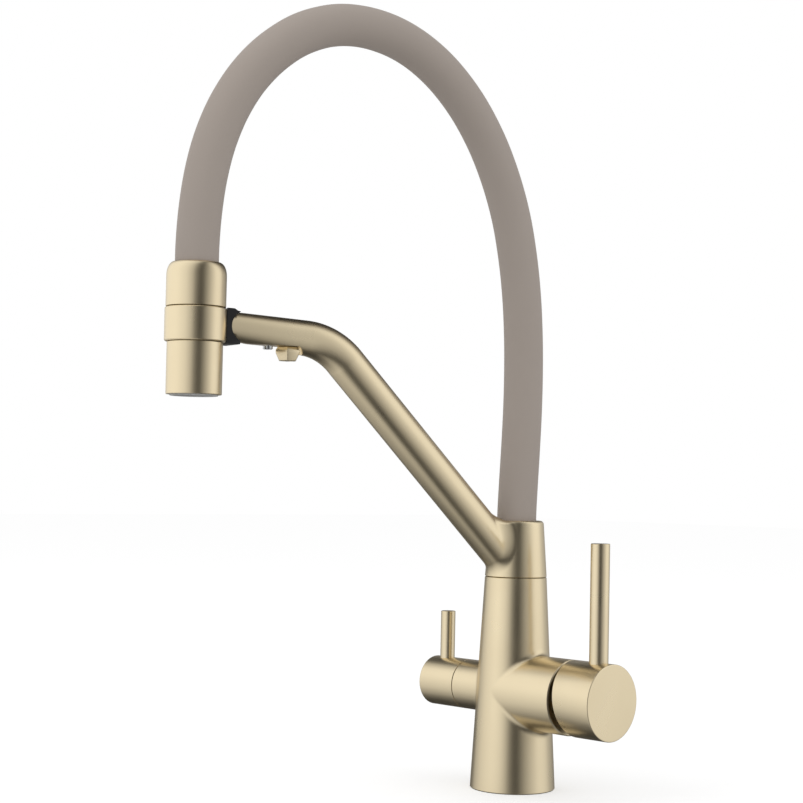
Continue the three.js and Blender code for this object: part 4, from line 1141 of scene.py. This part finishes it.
@dataclass
class Dock:
    """The black block at the tip of the arm, and the screw that holds it."""

    back: float = 194.1
    front: float = 206.55
    middle: float = 261.45
    half_height: float = 9.6
    half_width: float = 8.3
    slope_reach: float = 197.8
    slope_length: float = 2.4
    slope_drop: float = 1.3
    edge: float = 0.45
    cheek_gap: float = 0.15
    room_radius: float = 16.75
    room_bottom: float = 235.0
    room_top: float = 290.0
    magnet_radius: float = 5.1
    magnet_start: float = 196.3
    screw_reach: float = 172.8
    screw_radius: float = 2.7
    screw_bottom: float = 250.9
    screw_height: float = 1.8
    screw_edge: float = 0.4
    shank_radius: float = 1.6
    shank_length: float = 5.6
    slot_half: float = 0.42
    slot_depth: float = 0.75
    slot_turn: float = 0.6

    def block(self, arm: SpoutCasting) -> bpy.types.Object:
        """Makes the block with room for the arm's cheeks, the head's ring and the magnet.

        Args:
            arm: The casting whose tip it fits round.

        Returns:
            The block.
        """
        low, high = self.middle - self.half_height, self.middle + self.half_height
        slope_end, drop = self.slope_reach - self.slope_length, high - self.slope_drop
        outline = [(self.back, low), (self.front, low), (self.front, high),
                   (self.slope_reach, high), (slope_end, drop), (self.back, drop)]
        bm = bmesh.new()
        side = bm.faces.new([bm.verts.new((x * MM, -self.half_width * MM, z * MM))
                             for x, z in outline])
        pulled = bmesh.ops.extrude_face_region(bm, geom=[side])["geom"]
        bmesh.ops.translate(bm, vec=(0, 2 * self.half_width * MM, 0),
                            verts=only(pulled, bmesh.types.BMVert))
        bmesh.ops.recalc_face_normals(bm, faces=bm.faces)
        soften(bm, bm.edges[:], self.edge)
        room = cylinder(self.room_radius, self.room_bottom, self.room_top, 128, at(HEAD_REACH))
        seat = cylinder(self.magnet_radius, self.magnet_start, HEAD_REACH, 64,
                        at(0, 0, self.middle) @ SIDEWAYS)
        return finished("dock_moulding", combined(bm, [arm.cheeks(self.cheek_gap), room, seat]),
                        SPOUT_TURN, crisp=28)

    def screw(self) -> bpy.types.Object:
        """Turns the screw's head and cuts its slot."""
        low, high = self.screw_bottom, self.screw_bottom + self.screw_height
        shank, end = self.shank_radius, high + self.shank_length
        head = turned([(0, low, 0), (self.screw_radius, low, self.screw_edge),
                       (self.screw_radius, high, 0), (shank, high, 0), (shank, end, 0),
                       (0, end, 0)], 64)
        slot = box((-4, -self.slot_half, low - 1), (4, self.slot_half, low + self.slot_depth))
        bmesh.ops.rotate(slot, matrix=Matrix.Rotation(self.slot_turn, 3, "Z"), verts=slot.verts)
        return finished("dock_fixing_screw", combined(head, [slot]),
                        SPOUT_TURN @ at(self.screw_reach))

    def dress(self, shop: Workshop, arm: SpoutCasting) -> None:
        """Builds block and screw and fits them to the spout."""
        shop.fit(self.block(arm), Body.SPOUT, Slot.BLACK, "dock_block")
        shop.fit(self.screw(), Body.SPOUT, Slot.STEEL, "dock_screw")


# ---------------------------------------------------------------- spray head


@dataclass
class SprayHead:
    """Cap, ring and barrel of the spray head, on its own upright axis."""

    cap_top: float = 294.6
    cap_bottom: float = 270.9
    cap_radius: float = 16.05
    cap_lip: float = 289.0
    shoulder_width: float = 3.7
    shoulder_height: float = 7.2
    hose_hole: float = 12.0
    inner_radius: float = 14.15
    ring_radius: float = 16.45
    ring_top: float = 270.5
    ring_bottom: float = 252.3
    ring_bevel: float = 0.6
    barrel_radius: float = 14.9
    barrel_inner: float = 13.2
    barrel_top: float = 252.0
    barrel_bottom: float = 224.2

    def cap(self) -> bpy.types.Object:
        """The cap, with its large soft shoulder and the hole for the hose."""
        shoulder = [(self.cap_radius - self.shoulder_width * (1 - math.cos(turn)),
                     self.cap_top - self.shoulder_height * (1 - math.sin(turn)), 0)
                    for turn in np.linspace(0, math.pi / 2, 14)]
        bm = turned([(self.inner_radius, self.cap_bottom, 0),
                     (self.cap_radius, self.cap_bottom, 0.25), *shoulder,
                     (self.hose_hole + 0.4, self.cap_top, 0),
                     (self.hose_hole, self.cap_top - 0.4, 0), (self.hose_hole, self.cap_lip, 0),
                     (self.inner_radius, self.cap_lip, 0)], 128, 3)
        return finished("spray_cap", bm, HEAD_PLACE)

    def ring(self) -> bpy.types.Object:
        """The straight ring with a narrow bevel above and below."""
        inner, outer, cut = self.inner_radius, self.ring_radius, self.ring_bevel
        low, high = self.ring_bottom, self.ring_top
        bm = turned([(inner, low, 0), (outer - cut, low, 0.12), (outer, low + cut, 0.12),
                     (outer, high - cut, 0.12), (outer - cut, high, 0.12), (inner, high, 0)],
                    128, 3)
        return finished("spray_ring", bm, HEAD_PLACE)

    def barrel(self) -> bpy.types.Object:
        """The barrel that turns to change the jet."""
        bm = turned([(self.barrel_inner, self.barrel_bottom, 0.15),
                     (self.barrel_radius, self.barrel_bottom, 0.4),
                     (self.barrel_radius, self.barrel_top, 0.2),
                     (self.barrel_inner, self.barrel_top, 0)], 128, 4)
        return finished("spray_sleeve", bm, HEAD_PLACE)

    def dress(self, shop: Workshop) -> None:
        """Builds the three shells and fits them to the head and the barrel."""
        shop.fit(self.cap(), Body.HEAD, Slot.CHAMPAGNE, "head_cap")
        shop.fit(self.ring(), Body.HEAD, Slot.CHAMPAGNE, "head_ring")
        shop.fit(self.barrel(), Body.BARREL, Slot.CHAMPAGNE, "spray_barrel")


@dataclass
class SprayFace:
    """The face of the spray head, with soft jets round a slotted aerator."""

    bottom: float = 224.8
    thickness: float = 4.6
    radius: float = 12.9
    aerator_room: float = 6.7
    aerator_radius: float = 6.4
    jets: int = 12
    jet_circle: float = 9.7
    jet_radius: float = 0.7
    nub_radius: float = 1.25
    nub_height: float = 0.5
    nub_foot: float = 0.3
    lip_width: float = 1.1
    lip_height: float = 1.3
    aerator_rise: float = 0.3
    cell_radius: float = 0.86
    cell_pitch: float = 2.0
    cell_rows: int = 3
    cell_floor: float = 0.8
    rim_width: float = 1.5

    def plate(self) -> bpy.types.Object:
        """The plate with its pale lip and its ring of small raised jets."""
        top = self.bottom + self.thickness
        lip_bottom, lip_inner = self.bottom - self.lip_height, self.radius - self.lip_width
        plate = turned([(self.aerator_room, self.bottom, 0.2), (lip_inner, self.bottom, 0),
                        (lip_inner, lip_bottom, 0.25), (self.radius, lip_bottom, 0.25),
                        (self.radius, top, 0), (self.aerator_room, top, 0)], 96, 3)
        tip, foot = self.bottom - self.nub_height, self.bottom + self.nub_foot
        nubs, bores = [], []
        for i in range(self.jets):
            place = Matrix.Rotation(2 * math.pi * i / self.jets, 4, "Z") @ at(self.jet_circle)
            nub = turned([(self.jet_radius, tip, 0.12), (self.nub_radius, tip, 0.2),
                          (self.nub_radius + self.nub_foot, foot, 0),
                          (self.jet_radius, foot, 0)], 24, 2)
            bmesh.ops.transform(nub, matrix=place, verts=nub.verts)
            nubs.append(nub)
            bores.append(cylinder(self.jet_radius, self.bottom - 2, top + 1, 20, place))
        drilled = combined(plate, bores)
        return finished("spray_face_plate", join([drilled, *nubs]), HEAD_PLACE)

    def aerator(self) -> bpy.types.Object:
        """The aerator: a rim round a honeycomb of small cells."""
        low, high = self.bottom + self.aerator_rise, self.bottom + self.thickness
        rim = self.aerator_radius
        insert = turned([(0, low, 0), (rim, low, 0.2), (rim, high, 0), (0, high, 0)], 64, 3)
        cells, pitch = [], self.cell_pitch
        for row in range(-self.cell_rows, self.cell_rows + 1):
            for column in range(-self.cell_rows, self.cell_rows + 1):
                x = pitch * (column + 0.5 * (row % 2))
                y = pitch * row * math.sqrt(3) / 2
                if math.hypot(x, y) < rim - self.rim_width:
                    cells.append(cylinder(self.cell_radius, low - 1, high - self.cell_floor, 6,
                                          at(x, y)))
        return finished("aerator_honeycomb", combined(insert, cells), HEAD_PLACE)

    def dress(self, shop: Workshop) -> None:
        """Builds face and aerator and fits them to the barrel."""
        shop.fit(self.plate(), Body.BARREL, Slot.GREY, "spray_face")
        shop.fit(self.aerator(), Body.BARREL, Slot.WHITE, "aerator_insert")


# ---------------------------------------------------------------- handles


@dataclass
class Handle:
    """The drum of a valve on its hub, and the straight lever pin that stands on it."""

    name: str
    side: int
    body: Body
    radius: float
    end: float
    wall: float
    hub_radius: float
    hub_start: float
    pin_radius: float
    pin_distance: float
    pin_foot: float
    pin_top: float
    grub_distance: float
    steps: int
    face: float = 4.0
    edge: float = 0.55
    pin_play: float = 0.08
    pin_edge: float = 0.5
    grub_radius: float = 2.1

    def blank(self, back: float, rounding: float) -> bmesh.types.BMesh:
        """Turns the hollow drum with its hub.

        Args:
            back: Where its wall ends at the back, in millimetres.
            rounding: Rounding of that edge.

        Returns:
            The shape, whose Z axis looks out of the valve.
        """
        inner, floor = self.radius - self.wall, self.end - self.face
        return turned([(0, self.end, 0), (self.radius, self.end, self.edge),
                       (self.radius, back, rounding), (inner, back, 0), (inner, floor, 0),
                       (self.hub_radius, floor, 0), (self.hub_radius, self.hub_start, 0),
                       (0, self.hub_start, 0)], self.steps, 4)

    def shell(self) -> bmesh.types.BMesh:
        """The drum before it is bored."""
        raise NotImplementedError

    def drum(self) -> bpy.types.Object:
        """Bores the drum for its pin and its grub screw."""
        seat = at(0, 0, self.pin_distance) @ SIDEWAYS
        socket = cylinder(self.pin_radius + self.pin_play, self.radius - 3, self.radius + 2, 64,
                          seat)
        hole = cylinder(self.grub_radius, -self.radius - 1, -self.hub_radius + 1, 32,
                        at(0, 0, -self.grub_distance) @ seat)
        return finished(f"{self.name}_drum", combined(self.shell(), [socket, hole]),
                        valve_place(self.side), crisp=28)

    def pin(self) -> bpy.types.Object:
        """The straight lever pin."""
        bm = turned([(0, self.pin_foot, 0), (self.pin_radius, self.pin_foot, 0),
                     (self.pin_radius, self.pin_top, self.pin_edge), (0, self.pin_top, 0)],
                    96, 4)
        return finished(f"{self.name}_pin", bm, at(self.side * self.pin_distance))

    def dress(self, shop: Workshop) -> None:
        """Builds drum and pin and fits them to the valve's handle."""
        shop.fit(self.drum(), self.body, Slot.CHAMPAGNE, f"{self.name}_knob")
        shop.fit(self.pin(), self.body, Slot.CHAMPAGNE, f"{self.name}_lever_pin")


@dataclass
class MixerHandle(Handle):
    """The large drum of the mixer, with a slanting back edge."""

    name: str = "mixer"
    side: int = 1
    body: Body = Body.MIXER_HANDLE
    radius: float = 21.9
    end: float = 75.5
    wall: float = 2.0
    hub_radius: float = 8.4
    hub_start: float = 52.4
    pin_radius: float = 5.5
    pin_distance: float = 65.1
    pin_foot: float = 76.8
    pin_top: float = 147.2
    grub_distance: float = 4.1
    steps: int = 160
    back_top: float = 46.5
    back_bottom: float = 52.5
    back_edge: float = 0.3

    def shell(self) -> bmesh.types.BMesh:
        """Turns the drum and cuts its back on a slant."""
        bm = self.blank(self.back_top - BEYOND, 0)
        slant = math.atan2(self.back_bottom - self.back_top, 2 * self.radius)
        middle = (self.back_top + self.back_bottom) / 2 * MM
        rims = sliced(bm, (0, 0, middle), (math.sin(slant), 0, math.cos(slant)), True)
        bmesh.ops.bridge_loops(bm, edges=rims)
        bmesh.ops.recalc_face_normals(bm, faces=bm.faces)
        inner = (self.radius - self.wall) * MM + 1e-4
        soften(bm, [e for e in rims if e.is_valid and e.verts[0].co.xy.length > inner],
               self.back_edge)
        return bm


@dataclass
class FilterHandle(Handle):
    """The small drum of the filter valve, with a straight back edge."""

    name: str = "filter"
    side: int = -1
    body: Body = Body.FILTER_HANDLE
    radius: float = 14.9
    end: float = 65.6
    wall: float = 2.2
    hub_radius: float = 6.6
    hub_start: float = 40.4
    pin_radius: float = 4.45
    pin_distance: float = 56.1
    pin_foot: float = 69.8
    pin_top: float = 100.8
    grub_distance: float = 9.1
    steps: int = 128
    back: float = 37.8
    back_edge: float = 0.25

    def shell(self) -> bmesh.types.BMesh:
        """Turns the drum."""
        return self.blank(self.back, self.back_edge)


# ---------------------------------------------------------------- working parts


@dataclass
class WorkingParts:
    """The parts inside, whose shapes stay as the frame has them and get their finishes."""

    brass: tuple[str, ...] = (
        "swivel_spigot", "cartridge_nut", "filter_valve_body", "filter_spindle",
        "hose_tail_fitting", "hose_head_fitting")
    steel: tuple[str, ...] = (
        "swivel_retaining_ring", "cartridge_pivot_pin", "cartridge_spindle",
        "mixer_grub_screw", "filter_grub_screw")
    magnet: tuple[str, ...] = ("dock_magnet", "head_magnet")
    black: tuple[str, ...] = ("swivel_washer", "spray_core")
    grey: tuple[str, ...] = ("cartridge_rotor", "filter_outlet_insert")
    white: tuple[str, ...] = ("cartridge_base", "cartridge_shell", "non_return_valve")
    ceramic: tuple[str, ...] = (
        "cartridge_fixed_disc", "cartridge_moving_disc", "filter_fixed_disc",
        "filter_moving_disc")
    rubber: tuple[str, ...] = (
        "base_gasket", "spigot_o_ring_lower", "spigot_o_ring_upper", "cartridge_base_seal",
        "filter_valve_seal", "hose_tail_o_ring", "head_washer", "barrel_o_ring")

    def dress(self, shop: Workshop) -> None:
        """Gives each working part its finish through its object's own slots."""
        for slot, names in ((Slot.BRASS, self.brass), (Slot.STEEL, self.steel),
                            (Slot.MAGNET, self.magnet), (Slot.BLACK, self.black),
                            (Slot.GREY, self.grey), (Slot.WHITE, self.white),
                            (Slot.CERAMIC, self.ceramic), (Slot.RUBBER, self.rubber)):
            for name in names:
                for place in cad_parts[name].material_slots:
                    place.link = "OBJECT"
                    place.material = shop.materials[slot]
            LOG.info("%s: %d working parts", slot.value, len(names))


# ---------------------------------------------------------------- studio


@dataclass
class Studio:
    """The camera, the pale floor, the soft light and what the metal reflects, in metres."""

    eye: tuple[float, float, float] = (0.7004, -0.7635, 0.1807)
    ahead: tuple[float, float, float] = (-0.72374, 0.68853, 0.04598)
    roll: float = 0.0203
    lens: float = 77.25
    sky: float = 0.86
    floor_tone: float = 0.6
    floor_lift: float = 0.47
    surround_radius: float = 0.62
    surround_height: float = 0.2
    overhead: tuple[float, float, float] = (-0.45, 0.40, 0.80)
    beneath: tuple[float, float, float] = (-0.32, 0.27, -0.91)
    lit_point: tuple[float, float, float] = (0.0, 0.0, 0.2)

    def camera(self) -> None:
        """Sets the camera at the photograph's viewing angle."""
        ahead = Vector(self.ahead).normalized()
        right = ahead.cross(Vector((0, 0, 1))).normalized()
        up = right.cross(ahead)
        across = right * math.cos(self.roll) + up * math.sin(self.roll)
        upright = up * math.cos(self.roll) - right * math.sin(self.roll)
        data = bpy.data.cameras.new("photo_camera")
        data.lens = self.lens
        data.sensor_width = 36.0
        data.sensor_fit = "HORIZONTAL"
        data.clip_start = 0.01
        camera = bpy.data.objects.new("photo_camera", data)
        turn = Matrix((across, upright, -ahead)).transposed().to_4x4()
        camera.matrix_world = Matrix.Translation(self.eye) @ turn
        bpy.context.scene.collection.objects.link(camera)
        bpy.context.scene.camera = camera

    def world(self) -> None:
        """An even pale sky that the camera sees as white."""
        world = bpy.data.worlds.new("studio_sky")
        bpy.context.scene.world = world
        world.use_nodes = True
        world.cycles.sampling_method = "NONE"
        net = Net(world.node_tree)
        level = net.add("MapRange", {"Value": net.seen(), "To Min": self.sky, "To Max": 1.0})
        net.feed(net.nodes["Background"], {"Color": (1, 1, 1, 1),
                                           "Strength": level.outputs["Result"]})

    @staticmethod
    def _material(name: str) -> bpy.types.Material:
        """A material with nodes, whose glow isn't sampled as a lamp."""
        material = bpy.data.materials.new(name)
        material.use_nodes = True
        material.cycles.emission_sampling = "NONE"
        return material

    def floor(self) -> None:
        """A plain pale floor that keeps the tap's shadow."""
        bm = bmesh.new()
        bmesh.ops.create_grid(bm, x_segments=8, y_segments=8, size=6)
        floor = finished("studio_floor", bm)
        material = self._material("pale_floor")
        net = Net(material.node_tree)
        net.feed(net.nodes["Principled BSDF"], {
            "Base Color": (self.floor_tone,) * 3 + (1,), "Roughness": 0.95,
            "Specular IOR Level": 0.0, "Emission Color": (1, 1, 1, 1),
            "Emission Strength": net.product(net.seen(), self.floor_lift)})
        floor.data.materials.append(material)
        floor.visible_glossy = False

    def surround(self) -> None:
        """Soft panels round the tap that only its reflections show, with darker gaps."""
        bm = bmesh.new()
        bmesh.ops.create_uvsphere(bm, u_segments=96, v_segments=48, radius=self.surround_radius,
                                  matrix=Matrix.Translation((0, 0, self.surround_height)))
        panels = finished("studio_panels", bm)
        material = self._material("soft_panels")
        net = Net(material.node_tree)
        net.nodes.remove(net.nodes["Principled BSDF"])
        centre = (0, 0, -self.surround_height / self.surround_radius)
        way = net.add("Mapping", {
            "Vector": net.add("TexCoord").outputs["Object"], "Location": centre,
            "Scale": (1 / self.surround_radius,) * 3}).outputs["Vector"]
        split = net.add("SeparateXYZ", {0: way}).outputs
        turn = net.add("Math", {0: split["Y"], 1: split["X"]}, "ARCTAN2").outputs[0]
        level = net.ramp(turn, -math.pi, math.pi, self.around())
        for pole, stops in ((self.overhead, self.ceiling()), (self.beneath, self.ground())):
            facing = net.add("VectorMath", {0: way, 1: Vector(pole).normalized()}, "DOT_PRODUCT")
            level = net.product(level, net.ramp(facing.outputs["Value"], 0, 1, stops))
        glow = net.add("Emission", {"Strength": level})
        net.feed(net.nodes["Material Output"], {"Surface": glow.outputs[0]})
        panels.data.materials.append(material)
        self.only_reflected(panels)

    def around(self) -> Stops:
        """Brightness of the panels by the turn from the camera, as shares of a full turn."""
        levels = ((-148, 0.32), (-122, 0.84), (-98, 1.02), (-62, 1.04), (-40, 0.9), (-22, 0.62),
                  (-9, 0.18), (3, 0.05), (13, 0.05), (26, 0.26), (40, 0.46), (56, 0.68),
                  (76, 0.98), (100, 1.0), (124, 0.66), (160, 0.5))
        camera = math.degrees(math.atan2(self.eye[1], self.eye[0]))
        stops = [(((camera + turn + 180) % 360) / 360, level) for turn, level in levels]
        return sorted(stops)

    def ceiling(self) -> Stops:
        """Brightness of the panels towards the dark place overhead."""
        return [(0.0, 1.0), (0.52, 1.0), (0.72, 0.72), (0.84, 0.3), (0.92, 0.12), (1.0, 0.08)]

    def ground(self) -> Stops:
        """Brightness of the panels towards the dark place underneath."""
        return [(0.0, 1.0), (0.25, 0.86), (0.52, 0.7), (0.76, 0.42), (0.88, 0.16), (1.0, 0.1)]

    @staticmethod
    def only_reflected(obj: bpy.types.Object) -> None:
        """Lets a studio piece show in reflections alone."""
        obj.visible_camera = False
        obj.visible_diffuse = False
        obj.visible_transmission = False
        obj.visible_shadow = False

    def lamps(self) -> None:
        """Two large weak lamps that give the shapes a little direction."""
        for name, place, energy, size in (("key_lamp", (-0.5, -1.9, 1.7), 9.0, 1.4),
                                          ("fill_lamp", (2.0, 0.3, 1.4), 5.0, 1.6)):
            data = bpy.data.lights.new(name, "AREA")
            data.energy = energy
            data.size = size
            lamp = bpy.data.objects.new(name, data)
            away = Vector(place) - Vector(self.lit_point)
            lamp.matrix_world = Matrix.Translation(place) @ away.to_track_quat(
                "Z", "Y").to_matrix().to_4x4()
            lamp.visible_glossy = False
            bpy.context.scene.collection.objects.link(lamp)

    def build(self) -> None:
        """Sets up light, floor and what is reflected, and the plain colour view."""
        bpy.context.scene.view_settings.view_transform = "Standard"
        self.world()
        self.floor()
        self.surround()
        self.lamps()


def main() -> None:
    """Builds every piece of the tap in order, and the studio round it."""
    logging.basicConfig(level=logging.INFO, format="%(message)s")
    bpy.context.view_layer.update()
    studio = Studio()
    studio.camera()
    shop = Workshop()
    Hose().dress(shop)
    arm = SpoutCasting()
    TapBody().dress(shop)
    arm.dress(shop)
    FilteredOutlet().dress(shop)
    Dock().dress(shop, arm)
    SprayHead().dress(shop)
    SprayFace().dress(shop)
    MixerHandle().dress(shop)
    FilterHandle().dress(shop)
    WorkingParts().dress(shop)
    studio.build()


if __name__ == "__main__":
    main()
